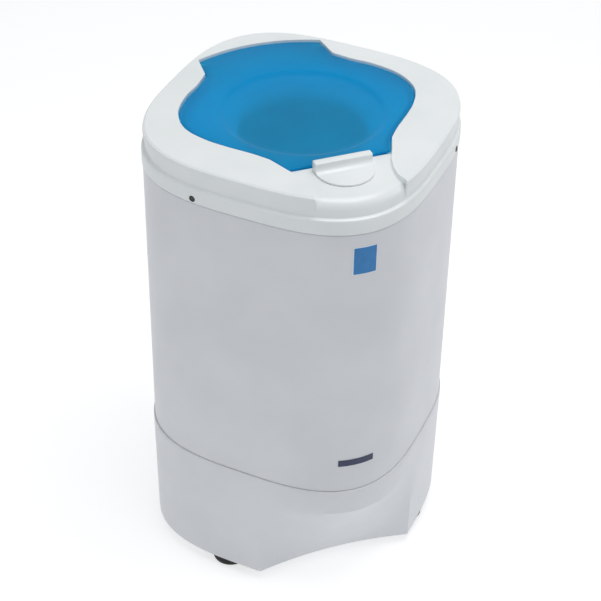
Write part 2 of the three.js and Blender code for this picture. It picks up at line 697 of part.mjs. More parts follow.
/** Side view of the space over the valley floor, lowered by a wall's thickness for its underside. */
function valleySection(lower) {
  const frontY = HALF_DEPTH + 20;
  const startY = LID_FRONT_Y - LID_GAP - (lower ? SHELL_WALL / 2 : 0) + (lower ? 0 : 1);
  const floor = VALLEY_ROLL.map(([y, z]) => [VALLEY_FLAT_Y + y + lower, VALLEY_Z + z - lower]);
  const lowZ = VALLEY_Z + VALLEY_ROLL.at(-1)[1] - lower;
  const highZ = RING_Z + 10;
  return [[startY, highZ], [startY, VALLEY_Z - lower], ...floor, [-frontY, lowZ], [-frontY, highZ]];
}

function lid() {
  const under = LID_TOP_Z - LID_PLATE;
  const rimBottom = POCKET_FLOOR_Z + GAP + 0.1;
  const rim = prism(inward(LID_OUTLINE, LID_RIM_INSET), rimBottom, under + 0.5)
    .subtract(prism(inward(LID_OUTLINE, LID_RIM_INSET + LID_RIM_WALL), rimBottom - 1, under + 1));
  let body = prism(inward(LID_OUTLINE, 0.8), LID_TOP_Z - 0.8, LID_TOP_Z)
    .add(prism(LID_OUTLINE, under, LID_TOP_Z - 0.7)).add(rim);
  for (const sideways of [1, -1]) {
    const outerX = sideways * HINGE_LUG_X;
    const innerX = outerX - sideways * HINGE_LUG;
    body = body.add(block(Math.min(outerX, innerX), Math.max(outerX, innerX),
      HINGE_Y - HINGE_LUG_R, HINGE_Y + HINGE_LUG_R, HINGE_Z, under + 0.5));
    body = body.add(rod([innerX, HINGE_Y, HINGE_Z], [outerX, HINGE_Y, HINGE_Z], HINGE_LUG_R, 0, 12));
    const boreEnd = sideways * (LID_EAR_X + 5);
    body = body.subtract(bore([innerX - sideways * 5, HINGE_Y, HINGE_Z], [boreEnd, HINGE_Y, HINGE_Z],
      HINGE_PIN_R + GAP));
  }
  addPart('lid', body, 'blueClear');
}

function hingePins() {
  const start = LID_EAR_X + LID_GAP + SHELL_WALL + 2;
  for (const [name, sideways] of [['hinge_pin_right', 1], ['hinge_pin_left', -1]]) {
    addPart(name, rod([sideways * (start - HINGE_PIN_LENGTH), HINGE_Y, HINGE_Z],
      [sideways * start, HINGE_Y, HINGE_Z], HINGE_PIN_R), 'steel');
  }
}

// latch: thumb rib and half-moon pad over the valley, stem and bolt under it
function latch() {
  const padBottom = VALLEY_Z + GAP;
  const padTop = padBottom + PAD_THICKNESS;
  const ribProfile = [
    [RIB_REAR_Y, padBottom], [RIB_REAR_Y, RIB_Z - 1.5], [RIB_REAR_Y - 1.5, RIB_Z], [RIB_FRONT_Y + 1, RIB_Z],
    [RIB_FRONT_Y, RIB_Z - 1], [RIB_FRONT_Y, padTop + 5], [RIB_FRONT_Y - 1.5, padTop + 1.5],
    [RIB_FRONT_Y - 5, padTop], [RIB_FRONT_Y - 5, padBottom],
  ];
  const rib = crosswise(ribProfile, -RIB_HALF_WIDTH, RIB_HALF_WIDTH);
  const moon = [];
  const reach = RIB_FRONT_Y - PAD_FRONT_Y;
  for (let i = 0; i <= 16; i += 1) {
    const turn = Math.PI * (i / 16);
    moon.push([RIB_HALF_WIDTH * Math.cos(turn), RIB_FRONT_Y - reach * Math.sin(turn)]);
  }
  const pad = prism(moon.reverse(), padBottom, padTop);
  const stemHalf = BOLT_HALF_WIDTH + 1;
  const stem = block(-stemHalf, stemHalf, STEM_FRONT_Y, STEM_REAR_Y, BOLT_Z, padBottom + 1);
  const bolt = block(-BOLT_HALF_WIDTH, BOLT_HALF_WIDTH, STEM_FRONT_Y, LID_FRONT_Y + LID_RIM_INSET - 2 * GAP,
    BOLT_Z, BOLT_Z + BOLT_THICKNESS);
  const lugFront = STEM_FRONT_Y - LUG_DEPTH;
  const lug = block(0, LUG_X, lugFront, STEM_FRONT_Y + LUG_OVERLAP, BOLT_Z, BOLT_Z + BOLT_THICKNESS);
  addPart('latch', rib.add(pad).add(stem).add(bolt).add(lug), 'whitePlastic');
}

function basePlate() {
  const clear = SHELL_WALL + PLATE_CLEARANCE;
  const outline = toeRing(PLATE_Z, baseInset(PLATE_Z) + clear, clear).map(([x, y]) => [x, y]);
  let body = prism(outline, PLATE_Z, PLATE_Z + PLATE_THICKNESS);
  for (const [x, y] of footPlaces()) {
    body = body.subtract(bore([x, y, PLATE_Z - 5], [x, y, PLATE_Z + 10], FOOT_STEM_R + GAP));
  }
  for (const slot of [-2, -1, 0, 1, 2]) {
    body = body.subtract(block(-30, 30, slot * 12 - 2.5, slot * 12 + 2.5, PLATE_Z - 5, PLATE_Z + 10));
  }
  addPart('base_plate', body, 'steel');
}

function footPlaces() {
  return [[FOOT_X, -FOOT_Y], [-FOOT_X, -FOOT_Y], [FOOT_X, FOOT_Y], [-FOOT_X, FOOT_Y]];
}

function feet() {
  const names = ['foot_front_right', 'foot_front_left', 'foot_rear_right', 'foot_rear_left'];
  const seat = PLATE_Z - GAP;
  const catchZ = PLATE_Z + PLATE_THICKNESS + GAP;
  footPlaces().forEach(([x, y], i) => {
    const profile = [[0, 0], [FOOT_R - 2, 0], [FOOT_R, 3], [FOOT_R, FOOT_SHOWING], [FOOT_R - 2.5, seat],
      [FOOT_STEM_R, seat], [FOOT_STEM_R, catchZ], [FOOT_STEM_R + 2.2, catchZ], [FOOT_STEM_R, catchZ + 7],
      [0, catchZ + 7]];
    const body = placed(turned(profile, 12), new THREE.Vector3(x, y, 0), new THREE.Vector3(0, 0, 1));
    addPart(names[i], body, 'rubber');
  });
}

// water tub: wall with its skirt down to the deck, and sloping floor with its neck round the shaft
// and its drain port
/** The tub's drain port, straight in from the spout. */
function drainPort(z) {
  const { point, normal } = rearFace(1, DRAIN_Z);
  return point.addScaledVector(normal, -DRAIN_PORT_IN).setZ(z);
}

function waterTub() {
  const outer = TUB_R + TUB_WALL;
  const neckOuter = NECK_R + TUB_WALL;
  const under = TUB_FLOOR_Z - TUB_WALL;
  const skirtZ = DECK_Z + GAP;
  const ledgeZ = under - GAP;
  addPart('water_tub', turned([
    [TUB_R, skirtZ], [outer, skirtZ], [outer, TUB_TOP_Z], [TUB_R, TUB_TOP_Z],
    [TUB_R, ledgeZ], [TUB_R - TUB_LEDGE, ledgeZ], [TUB_R, ledgeZ - 2 * TUB_LEDGE],
  ], WIDE), 'greyPlastic');

  const rim = TUB_R - GAP;
  let floor = turned([
    [NECK_R, NECK_BOTTOM_Z], [neckOuter, NECK_BOTTOM_Z], [neckOuter, under + TUB_FLOOR_RISE], [rim, under],
    [rim, TUB_FLOOR_Z], [neckOuter, TUB_FLOOR_Z + TUB_FLOOR_RISE],
    [neckOuter, NECK_TOP_Z], [NECK_R, NECK_TOP_Z],
  ], WIDE);
  const port = drainPort(0);
  const slope = TUB_FLOOR_RISE / (rim - neckOuter);
  const overPort = under + (rim - Math.hypot(port.x, port.y)) * slope;
  const pipeLow = under - DRAIN_PORT_LENGTH;
  floor = floor.add(rod([port.x, port.y, pipeLow], [port.x, port.y, overPort + TUB_WALL / 2], DRAIN_PIPE_R));
  floor = floor.subtract(rod([port.x, port.y, pipeLow - 1], [port.x, port.y, overPort + 2 * TUB_WALL],
    DRAIN_PIPE_R - DRAIN_WALL));
  addPart('tub_floor', floor, 'greyPlastic');
}

function splashCollar() {
  const under = COLLAR_TOP_Z - COLLAR_WALL;
  const reach = TUB_R + COLLAR_REACH;
  const ringInner = TUB_R + TUB_WALL + GAP;
  const ringLow = TUB_TOP_Z - COLLAR_GRIP;
  const hole = FUNNEL_R + GAP;
  let body = turned([
    [hole, under], [hole, COLLAR_TOP_Z], [reach, COLLAR_TOP_Z],
    [reach, under], [ringInner + COLLAR_WALL, under],
    [ringInner + COLLAR_WALL, ringLow], [ringInner, ringLow], [ringInner, under],
  ], WIDE);
  const plate = inward(LID_OUTLINE, COLLAR_INSET).map(([x, y]) => [x, Math.min(y, LID_EAR_Y)]);
  const middle = tube(hole + COLLAR_WALL, 0, under - 5, COLLAR_TOP_Z + 5, WIDE);
  body = body.add(prism(plate, under, COLLAR_TOP_Z).subtract(middle));
  const rearEdge = HINGE_Y - COLLAR_TO_HINGE;
  body = body.subtract(block(-HALF_WIDTH, HALF_WIDTH, rearEdge, HALF_DEPTH, MOUTH_Z - 10, COLLAR_TOP_Z + 5));
  addPart('splash_collar', body, 'whitePlastic');
  addPart('mouth_funnel', turned([
    [MOUTH_R, MOUTH_Z], [MOUTH_R + 1, MOUTH_Z + 3], [FUNNEL_R - 2, COLLAR_TOP_Z], [FUNNEL_R, COLLAR_TOP_Z],
    [FUNNEL_R, under], [MOUTH_R + COLLAR_WALL, MOUTH_Z],
  ], WIDE), 'whitePlastic');
}

// drum and what turns with it
function drum() {
  const wall = DRUM_WALL;
  const inner = DRUM_R - wall;
  const shoulderZ = DRUM_TOP_Z - DRUM_SHOULDER;
  let body = tube(DRUM_R, inner, DRUM_FLOOR_Z, shoulderZ, WIDE);
  const low = DRUM_FLOOR_Z + 50;
  const high = DRUM_TOP_Z - 60;
  for (let row = 0; row < DRUM_HOLE_ROWS; row += 1) {
    const z = low + ((high - low) * row) / (DRUM_HOLE_ROWS - 1);
    for (let i = 0; i < DRUM_HOLES_ROUND; i += 1) {
      const turn = (2 * Math.PI * (i + (row % 2) / 2 + DRUM_HOLES_ROUND / WIDE / 2)) / DRUM_HOLES_ROUND;
      const [c, s] = [Math.cos(turn), Math.sin(turn)];
      const [near, far] = [DRUM_R - 10, DRUM_R + 5];
      body = body.subtract(rod([near * c, near * s, z], [far * c, far * s, z], DRUM_HOLE_R, 0, 6));
    }
  }
  addPart('drum', body, 'aluminium');
  const base = tube(inner - GAP, SHAFT_R + RUN, DRUM_FLOOR_Z, DRUM_FLOOR_Z + wall, WIDE);
  addPart('drum_base', base, 'aluminium');
  addPart('drum_shoulder', turned([
    [inner, shoulderZ + GAP], [DRUM_R, shoulderZ + GAP],
    [DRUM_R - 6, DRUM_TOP_Z - 9], [DRUM_R - 18, DRUM_TOP_Z - 3],
    [DRUM_MOUTH_R, DRUM_TOP_Z], [DRUM_MOUTH_R, DRUM_TOP_Z - wall], [DRUM_R - 18.5, DRUM_TOP_Z - 3 - wall],
    [DRUM_R - 6 - wall, DRUM_TOP_Z - 10.2],
  ], WIDE), 'aluminium');
}

function drumRim() {
  const z = DRUM_TOP_Z + GAP;
  const r = DRUM_MOUTH_R - GAP;
  const low = z - RIM_DEPTH;
  addPart('drum_rim', turned([
    [r - RIM_WALL, low], [r, low], [r, z], [r + RIM_REACH, z],
    [r + RIM_REACH, z + RIM_RISE / 2], [r + 1, z + RIM_RISE], [r - RIM_WALL, z + RIM_RISE / 2],
  ], WIDE), 'greyPlastic');
}

function drumHub() {
  const top = DRUM_FLOOR_Z - GAP;
  const boss = SHAFT_R + HUB_BOSS;
  addPart('drum_hub', turned([
    [SHAFT_R + RUN, top - HUB_HEIGHT], [boss, top - HUB_HEIGHT],
    [boss, top - HUB_DISC], [HUB_R - 3, top - HUB_DISC],
    [HUB_R - 3, top - HUB_SKIRT], [HUB_R, top - HUB_SKIRT], [HUB_R, top], [SHAFT_R + RUN, top],
  ]), 'aluminium');
  const nutZ = DRUM_FLOOR_Z + DRUM_WALL + GAP;
  const hole = bore([0, 0, nutZ - 5], [0, 0, nutZ + 20], SHAFT_R + RUN);
  addPart('hub_nut', tube(NUT_R, 0, nutZ, nutZ + NUT_HEIGHT, 6).subtract(hole), 'steel');
  const capTop = nutZ + CAP_HEIGHT;
  const wall = CAP_WALL;
  addPart('hub_cap', turned([
    [CAP_R, nutZ], [CAP_R, nutZ + wall], [CAP_SHOULDER_R, nutZ + CAP_SHOULDER_H], [CAP_CROWN_R, capTop - 2],
    [0, capTop], [0, capTop - wall], [CAP_CROWN_R - 1, capTop - 2 - wall],
    [CAP_SHOULDER_R - wall, nutZ + CAP_SHOULDER_H - 2], [CAP_R - wall, nutZ + wall - 1], [CAP_R - wall, nutZ],
  ]), 'greyPlastic');
}

function shaftAndRotor() {
  addPart('drum_shaft', turned([[0, SHAFT_BOTTOM_Z], [SHAFT_R, SHAFT_BOTTOM_Z], [SHAFT_R, SHAFT_TOP_Z - 1],
    [SHAFT_R - 1, SHAFT_TOP_Z], [0, SHAFT_TOP_Z]], FINE), 'steel');
  const coreZ = MOTOR_BOTTOM_Z + CORE_RISE;
  addPart('rotor', tube(STATOR_BORE_R - AIR_GAP, SHAFT_R + RUN, coreZ, coreZ + CORE_HEIGHT), 'darkSteel');
  const brakeTop = BRAKE_DRUM_Z + BRAKE_DRUM_H;
  addPart('brake_drum', turned([[SHAFT_R + RUN, BRAKE_DRUM_Z], [14, BRAKE_DRUM_Z], [14, brakeTop - 3],
    [BRAKE_DRUM_R - 3, brakeTop - 3], [BRAKE_DRUM_R - 3, BRAKE_DRUM_Z], [BRAKE_DRUM_R, BRAKE_DRUM_Z],
    [BRAKE_DRUM_R, brakeTop], [SHAFT_R + RUN, brakeTop]]), 'steel');
  coolingFan(brakeTop + FAN_SHEET);
}

function coolingFan(z) {
  const hub = tube(FAN_HUB_R, SHAFT_R + RUN, z, z + FAN_HEIGHT, FINE);
  let body = hub.add(tube(FAN_R, SHAFT_R + RUN, z, z + FAN_SHEET, ROUND));
  const length = FAN_R - FAN_HUB_R;
  const rise = FAN_HEIGHT - 1;
  for (let i = 0; i < FAN_BLADES; i += 1) {
    const turn = (2 * Math.PI * i) / FAN_BLADES;
    const blade = new THREE.BoxGeometry(length, FAN_SHEET, rise)
      .translate(FAN_HUB_R + length / 2 - 1, 0, z + 1 + rise / 2).rotateZ(turn);
    body = body.add(solid(blade));
  }
  addPart('cooling_fan', body, 'greyPlastic');
}

// motor unit on its three springs
function motor() {
  const top = MOTOR_PLATE_Z - GAP;
  const bearingBore = BEARING_R + GAP;
  addPart('motor_housing', turned([[MOTOR_R - MOTOR_WALL, MOTOR_BOTTOM_Z], [MOTOR_R, MOTOR_BOTTOM_Z],
    [MOTOR_R, top - 8], [MOTOR_R - 4, top], [bearingBore, top], [bearingBore, top - MOTOR_WALL],
    [MOTOR_R - 5, top - MOTOR_WALL], [MOTOR_R - MOTOR_WALL, top - 8.6]]), 'steel');
  const coreLow = MOTOR_BOTTOM_Z + CORE_RISE;
  const coreHigh = coreLow + CORE_HEIGHT;
  const coreR = MOTOR_R - MOTOR_WALL - GAP;
  const windingIn = STATOR_BORE_R + WINDING_INSET;
  const windingOut = coreR - WINDING_INSET;
  addPart('stator', turned([
    [STATOR_BORE_R, coreLow], [windingIn, coreLow], [windingIn, coreLow - WINDING_HEIGHT],
    [windingOut, coreLow - WINDING_HEIGHT], [windingOut, coreLow], [coreR, coreLow], [coreR, coreHigh],
    [windingOut, coreHigh], [windingOut, coreHigh + WINDING_HEIGHT], [windingIn, coreHigh + WINDING_HEIGHT],
    [windingIn, coreHigh], [STATOR_BORE_R, coreHigh],
  ]), 'copper');
  const capTop = MOTOR_BOTTOM_Z - GAP;
  let cap = turned([[BEARING_R + GAP, capTop - 5], [MOTOR_R - 6, capTop - 5], [MOTOR_R + 2, capTop - 2],
    [MOTOR_R + 2, capTop], [MOTOR_R - MOTOR_WALL - GAP, capTop], [MOTOR_R - MOTOR_WALL - GAP, capTop + 4],
    [MOTOR_R - 8, capTop + 4], [MOTOR_R - 10, capTop], [BEARING_R + 4, capTop], [BEARING_R + 4, capTop + 5],
    [BEARING_R + GAP, capTop + 5]]);
  const [px, py] = BRAKE_PIVOT;
  const reach = 10;
  cap = cap.add(block(px - reach, px + reach + 12, py - reach, py + reach, capTop - 5, capTop - 2.2));
  cap = cap.add(rod([px, py, BRAKE_DRUM_Z - 2], [px, py, capTop - 4], BRAKE_PIN_R));
  addPart('motor_end_cap', cap, 'aluminium');
  bearing('lower_bearing', capTop - 5, capTop + 4);
  bearing('upper_bearing', MOTOR_PLATE_Z - 6, MOTOR_PLATE_Z + 5);
}

function bearing(name, z0, z1) {
  addPart(name, tube(BEARING_R, SHAFT_R + RUN, z0, z1, ROUND), 'steel');
}

function suspensionPlaces() {
  const place = (turn) => [SUSPENSION_R * Math.cos(radians(turn)), SUSPENSION_R * Math.sin(radians(turn))];
  return SUSPENSION_TURNS.map(place);
}

function motorPlate() {
  const plateTop = MOTOR_PLATE_Z + MOTOR_PLATE_THICKNESS;
  const lobe = 17;
  let body = tube(MOTOR_R + 10, BEARING_R + GAP, MOTOR_PLATE_Z, plateTop);
  for (const [x, y] of suspensionPlaces()) {
    const arm = new THREE.BoxGeometry(SUSPENSION_R - 50, lobe * 2, MOTOR_PLATE_THICKNESS)
      .translate((SUSPENSION_R + 50) / 2, 0, MOTOR_PLATE_Z + MOTOR_PLATE_THICKNESS / 2)
      .rotateZ(Math.atan2(y, x));
    const end = placed(tube(lobe, 0, 0, MOTOR_PLATE_THICKNESS, FINE), new THREE.Vector3(x, y, MOTOR_PLATE_Z),
      new THREE.Vector3(0, 0, 1));
    body = body.add(solid(arm)).add(end);
  }
  for (const [x, y] of suspensionPlaces()) {
    body = body.subtract(bore([x, y, MOTOR_PLATE_Z - 5], [x, y, plateTop + 5], STUD_R + GAP));
  }
  addPart('motor_plate', body, 'darkSteel');
  const seat = plateTop + GAP;
  const bearingIn = BEARING_R + 2 * GAP;
  const flangeR = BEARING_R + SLEEVE_FLANGE;
  addPart('bearing_sleeve', turned([
    [bearingIn, seat], [flangeR, seat], [flangeR, seat + 3],
    [BEARING_R + 3, seat + 3], [BEARING_R + 3, seat + 6], [SLEEVE_R, seat + 9], [SLEEVE_R, SLEEVE_TOP_Z],
    [SHAFT_R + 2, SLEEVE_TOP_Z], [SHAFT_R + 2, seat + 7], [bearingIn, seat + 4],
  ], WIDE), 'aluminium');
}

function suspension() {
  const plateTop = PLATE_Z + PLATE_THICKNESS + GAP;
  const boreR = STUD_R + STUD_SLIP;
  const studLow = POST_TOP_Z - STUD_DEPTH;
  const headLow = MOTOR_PLATE_Z + MOTOR_PLATE_THICKNESS + GAP;
  const headHigh = headLow + STUD_HEAD_H;
  const up = new THREE.Vector3(0, 0, 1);
  suspensionPlaces().forEach(([x, y], i) => {
    const at = new THREE.Vector3(x, y, 0);
    const post = turned([
      [boreR, plateTop], [POST_R + POST_FLANGE, plateTop], [POST_R + POST_FLANGE, plateTop + 3],
      [POST_R, plateTop + 6], [POST_R, POST_TOP_Z], [boreR, POST_TOP_Z],
    ], FINE);
    addPart(`suspension_post_${i + 1}`, placed(post, at, up), 'greyPlastic');
    const stud = turned([
      [0, studLow], [STUD_R, studLow], [STUD_R, headLow],
      [2 * STUD_R, headLow], [2 * STUD_R, headHigh], [0, headHigh],
    ], 12);
    addPart(`suspension_stud_${i + 1}`, placed(stud, at, up), 'steel');
    const coil = coilSpring(POST_TOP_Z + GAP, MOTOR_PLATE_Z - GAP);
    addPart(`suspension_spring_${i + 1}`, placed(coil, at, up), 'steel');
  });
}

/** A coil spring about Z between two heights, as one wire with both ends cut off square. */
function coilSpring(z0, z1) {
  const stepsPerTurn = 8;
  const sides = 5;
  const low = z0 + SPRING_WIRE_R;
  const high = z1 - SPRING_WIRE_R;
  const steps = SPRING_TURNS * stepsPerTurn;
  const rings = [];
  for (let i = 0; i <= steps; i += 1) {
    const turn = (2 * Math.PI * i) / stepsPerTurn;
    const z = low + ((high - low) * i) / steps;
    const wire = [];
    for (let k = 0; k < sides; k += 1) {
      const around = (2 * Math.PI * k) / sides;
      const r = SPRING_R + SPRING_WIRE_R * Math.cos(around);
      wire.push([r * Math.cos(turn), r * Math.sin(turn), z + SPRING_WIRE_R * Math.sin(around)]);
    }
    rings.push(wire);
  }
  return ringTube(rings);
}

/** A closed tube through small rings in space, with a fan over each end. */
function ringTube(rings) {
  const sides = rings[0].length;
  const index = [];
  for (let i = 0; i < rings.length - 1; i += 1) {
    for (let k = 0; k < sides; k += 1) {
      const m = (k + 1) % sides;
      index.push(i * sides + k, i * sides + m, (i + 1) * sides + m);
      index.push(i * sides + k, (i + 1) * sides + m, (i + 1) * sides + k);
    }
  }
  const last = (rings.length - 1) * sides;
  for (let k = 1; k < sides - 1; k += 1) {
    index.push(0, k + 1, k);
    index.push(last, last + k, last + k + 1);
  }
  const geometry = new THREE.BufferGeometry();
  geometry.setAttribute('position', new THREE.BufferAttribute(new Float32Array(rings.flat(2)), 3));
  geometry.setIndex(index);
  return solid(geometry);
}

// rubber boot between the fixed tub's neck and the motor unit's sleeve
function tubBoot() {
  const outer = NECK_R + TUB_WALL + GAP;
  const inner = SLEEVE_R + GAP;
  const grip = NECK_BOTTOM_Z + BOOT_GRIP;
  const low = NECK_BOTTOM_Z - BOOT_DROP;
  const wall = BOOT_WALL;
  addPart('tub_boot', turned([
    [outer, grip], [outer + wall, grip], [outer + wall, NECK_BOTTOM_Z - 3], [outer - 3, low],
    [inner + 6, low - 2], [inner + wall, low + 4], [inner + wall, low + BOOT_DROP],
    [inner, low + BOOT_DROP], [inner, low + wall],
    [inner + 4.5, low - 4], [outer - 1.5, low - 2], [outer, NECK_BOTTOM_Z - 1],
  ], WIDE), 'rubber');
}

// brake: lever on a pin under the motor's end cap, with a lining that the lever brings to the brake drum
const brakeAngle = Math.atan2(BRAKE_PIVOT[1], BRAKE_PIVOT[0]);
function brake() {
  const [px, py] = BRAKE_PIVOT;
  const z0 = BRAKE_DRUM_Z + 2;
  const z1 = BRAKE_DRUM_Z + BRAKE_DRUM_H - 2;
  const inner = BRAKE_DRUM_R + BRAKE_GAP + LINING_THICKNESS;
  const sweep = (start, end, r0, r1, steps) => {
    const points = [];
    for (let i = 0; i <= steps; i += 1) {
      const turn = brakeAngle + radians(start + ((end - start) * i) / steps);
      points.push([r1 * Math.cos(turn), r1 * Math.sin(turn)]);
    }
    for (let i = steps; i >= 0; i -= 1) {
      const turn = brakeAngle + radians(start + ((end - start) * i) / steps);
      points.push([r0 * Math.cos(turn), r0 * Math.sin(turn)]);
    }
    return points;
  };
  const arm = prism(sweep(...LEVER_ARC, inner + GAP, inner + BRAKE_ARM_WIDTH, 7), z0, z1);
  const eye = rod([px, py, z0], [px, py, z1], BRAKE_PIN_R + 5);
  const bridge = prism(sweep(0, LEVER_BRIDGE, inner + 2, Math.hypot(px, py), 2), z0, z1);
  const tail = prism(sweep(LEVER_ARC[1] - 6, LEVER_ARC[1], inner + 4, inner + LEVER_TAIL, 1), z0, z1);
  const lever = arm.add(eye).add(bridge).add(tail)
    .subtract(bore([px, py, z0 - 5], [px, py, z1 + 5], BRAKE_PIN_R + GAP));
  addPart('brake_lever', lever, 'steel');
  addPart('brake_lining', prism(sweep(...LINING_ARC, inner - LINING_THICKNESS, inner, 3), z0, z1), 'rubber');
}

// drain: hose from the tub's port to the spout in the right rear face
function drain() {
  const { point, normal } = rearFace(1, DRAIN_Z);
  const inside = SHELL_WALL + GAP;
  const along = (distance) => point.clone().addScaledVector(normal, distance).toArray();
  const spout = rod(along(-22), along(SPOUT_OUT), DRAIN_PIPE_R)
    .add(rod(along(-inside - 2.5), along(-inside), DRAIN_PIPE_R + 4))
    .subtract(rod(along(-30), along(SPOUT_OUT + 5), DRAIN_PIPE_R - DRAIN_WALL));
  addPart('drain_spout', spout, 'greyPlastic');

  const port = drainPort(TUB_FLOOR_Z - TUB_WALL - 2);
  const start = new THREE.Vector3(...along(-inside - 3.1));
  const bend = 26;
  const hoseBore = DRAIN_PIPE_R + GAP;
  const path = new THREE.CurvePath();
  const corner = drainPort(DRAIN_Z);
  const above = drainPort(DRAIN_Z + bend);
  const beside = corner.clone().addScaledVector(normal, bend);
  path.add(new THREE.LineCurve3(port, above));
  path.add(new THREE.QuadraticBezierCurve3(above, corner, beside));
  path.add(new THREE.LineCurve3(beside, start));
  addPart('drain_hose', sweptTube(path, hoseBore + HOSE_WALL, hoseBore), 'rubber');
}

/** A hose with its bore along a path, with more rings where the path bends. */
function sweptTube(path, outer, inner, sides = 10) {
  const shares = [];
  path.curves.forEach((curve, i) => {
    const steps = curve instanceof THREE.LineCurve3 ? 1 : 5;
    for (let k = i === 0 ? 0 : 1; k <= steps; k += 1) shares.push([curve, k / steps]);
  });
  const first = shares[0][0].getTangent(0);
  const last = path.curves.at(-1).getTangent(1);
  const across = new THREE.Vector3().crossVectors(first, last);
  if (across.lengthSq() < 1e-6) across.set(1, 0, 0);
  across.normalize();
  const rings = (radius) => shares.map(([curve, share]) => {
    const centre = curve.getPoint(share);
    const tangent = curve.getTangent(share).normalize();
    const other = new THREE.Vector3().crossVectors(tangent, across).normalize();
    const ringPoints = [];
    for (let k = 0; k < sides; k += 1) {
      const turn = (2 * Math.PI * k) / sides;
      ringPoints.push(centre.clone().addScaledVector(across, radius * Math.cos(turn))
        .addScaledVector(other, radius * Math.sin(turn)).toArray());
    }
    return ringPoints;
  });
  const wall = rings(outer);
  const flats = inner / Math.cos(Math.PI / sides);
  return inner > 0 ? lofted([...wall, ...rings(flats).reverse()], true) : ringTube(wall);
}

function cordGland() {
  const { point, normal } = rearFace(-1, DRAIN_Z);
  const along = (distance) => point.clone().addScaledVector(normal, distance).toArray();
  const inside = SHELL_WALL + GAP;
  const body = rod(along(-16), along(13), GLAND_R)
    .add(rod(along(GAP), along(4), GLAND_R + 5))
    .add(rod(along(-inside - 4), along(-inside), GLAND_R + 4))
    .subtract(rod(along(-20), along(20), 3.6));
  addPart('cord_gland', body, 'rubber');
}

// capacitor on the base plate
function capacitor() {
  const [x, y] = CAPACITOR_PLACE;
  const r = CAPACITOR_R;
  const plateTop = PLATE_Z + PLATE_THICKNESS + GAP;
  const at = new THREE.Vector3(x, y, 0);
  const up = new THREE.Vector3(0, 0, 1);
  const top = plateTop + CAPACITOR_HEIGHT;
  addPart('capacitor', placed(turned([
    [0, plateTop], [r + 3, plateTop], [r + 3, plateTop + 2], [r, plateTop + 2], [r, top - 2], [r - 2, top],
    [TERMINAL_R, top], [TERMINAL_R, top + TERMINAL_HEIGHT], [0, top + TERMINAL_HEIGHT],
  ], 16), at, up), 'whitePlastic');
}

// lid switch under the valley, with its plunger against the lug on the latch's bolt
function lidSwitch() {
  const z0 = COLLAR_TOP_Z + 1;
  const z1 = VALLEY_Z - SHELL_WALL - GAP;
  const x0 = BOLT_HALF_WIDTH + 3;
  const x1 = LUG_X + 2;
  const frontY = STEM_FRONT_Y + 3;
  const rearY = frontY + SWITCH_LENGTH;
  const plungerX = (x0 + x1) / 2;
  const plungerZ = BOLT_Z + BOLT_THICKNESS / 2;
  const tip = [plungerX, STEM_FRONT_Y + LUG_OVERLAP + GAP, plungerZ];
  const tail = [plungerX, frontY + SWITCH_STROKE * 3, plungerZ];
  const body = block(x0, x1, frontY, rearY, z0, z1)
    .subtract(bore([plungerX, frontY - 2, plungerZ], [plungerX, tail[1] + 2, plungerZ], PLUNGER_R + GAP));
  addPart('lid_switch', body, 'darkSteel');
  addPart('switch_plunger', rod(tip, tail, PLUNGER_R), 'whitePlastic');
}

function brakeCable() {
  const x = CABLE_X;
  const topZ = VALLEY_Z - SHELL_WALL - 2 * GAP;
  const lowZ = DECK_Z + 2 * GAP;
  const wallY = CABLE_FROM_FRONT - HALF_DEPTH;
  const route = [
    [x, wallY + 4, topZ], [x, wallY + 4, topZ - 20], [x, wallY + 1, topZ - 64], [x, wallY, topZ - 174],
    [x, wallY, lowZ + 130], [x, wallY + 4, lowZ + 40], [x, wallY + 8, lowZ],
  ].map((point) => new THREE.Vector3(...point));
  const path = new THREE.CurvePath();
  const curve = new THREE.CatmullRomCurve3(route);
  const points = curve.getPoints(12);
  for (let i = 0; i < points.length - 1; i += 1) path.add(new THREE.LineCurve3(points[i], points[i + 1]));
  addPart('brake_cable', sweptTube(path, CABLE_R, 0, 6), 'rubber');
}

// badge and plain plate, curved with the front corner
function cornerPlate(name, width, z0, height, finish) {
  const arc = [];
  const steps = 6;
  const perDegree = (planPoint(FRONT_TURN + 1).x - planPoint(FRONT_TURN - 1).x) / 2;
  const widthTurn = width / 2 / perDegree;
  for (let i = 0; i <= steps; i += 1) arc.push(FRONT_TURN + widthTurn * ((2 * i) / steps - 1));
  const layer = (out) => [z0, z0 + height].map((z) => arc.map((turn) => {
    const { x, y, normal } = planPoint(turn, bodyInset(z));
    return [x + normal.x * out, y + normal.y * out, z];
  }));
  const [lowIn, highIn] = layer(BADGE_STAND);
  const [lowOut, highOut] = layer(BADGE_STAND + BADGE_THICKNESS);
  const rings = arc.map((_, i) => [lowIn[i], lowOut[i], highOut[i], highIn[i]]);
  addPart(name, ringTube(rings), finish);
}

baseShell();
cabinetShell();
topCover();
coverScrews();
lid();
hingePins();
latch();
basePlate();
feet();
waterTub();
splashCollar();
drum();
drumRim();
drumHub();
shaftAndRotor();
motor();
motorPlate();
suspension();
tubBoot();
brake();
drain();
cordGland();
capacitor();
lidSwitch();
brakeCable();
cornerPlate('front_badge', BADGE_WIDTH, BADGE_BOTTOM_Z, BADGE_HEIGHT, 'badgeBlue');
cornerPlate('plain_plate', PLATE_WIDTH, PLATE_BOTTOM_Z, PLATE_HEIGHT, 'navy');

export default group;
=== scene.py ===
# %% [markdown]
# # A laundry spin dryer, dressed for its picture
# The solids of the machine come in as a fixed frame: cabinet, drum, motor, springs and brake are all
# where they belong and move as they should. This lesson gives them their looks. The large mouldings
# that the eye rests on are built again with smooth surfaces, and every other solid keeps its shape and
# gets a material made of nodes. The measures are in millimetres until a mesh is made, because that is
# how mouldings are drawn; Blender itself works in metres.

# %% Load the frame
import math

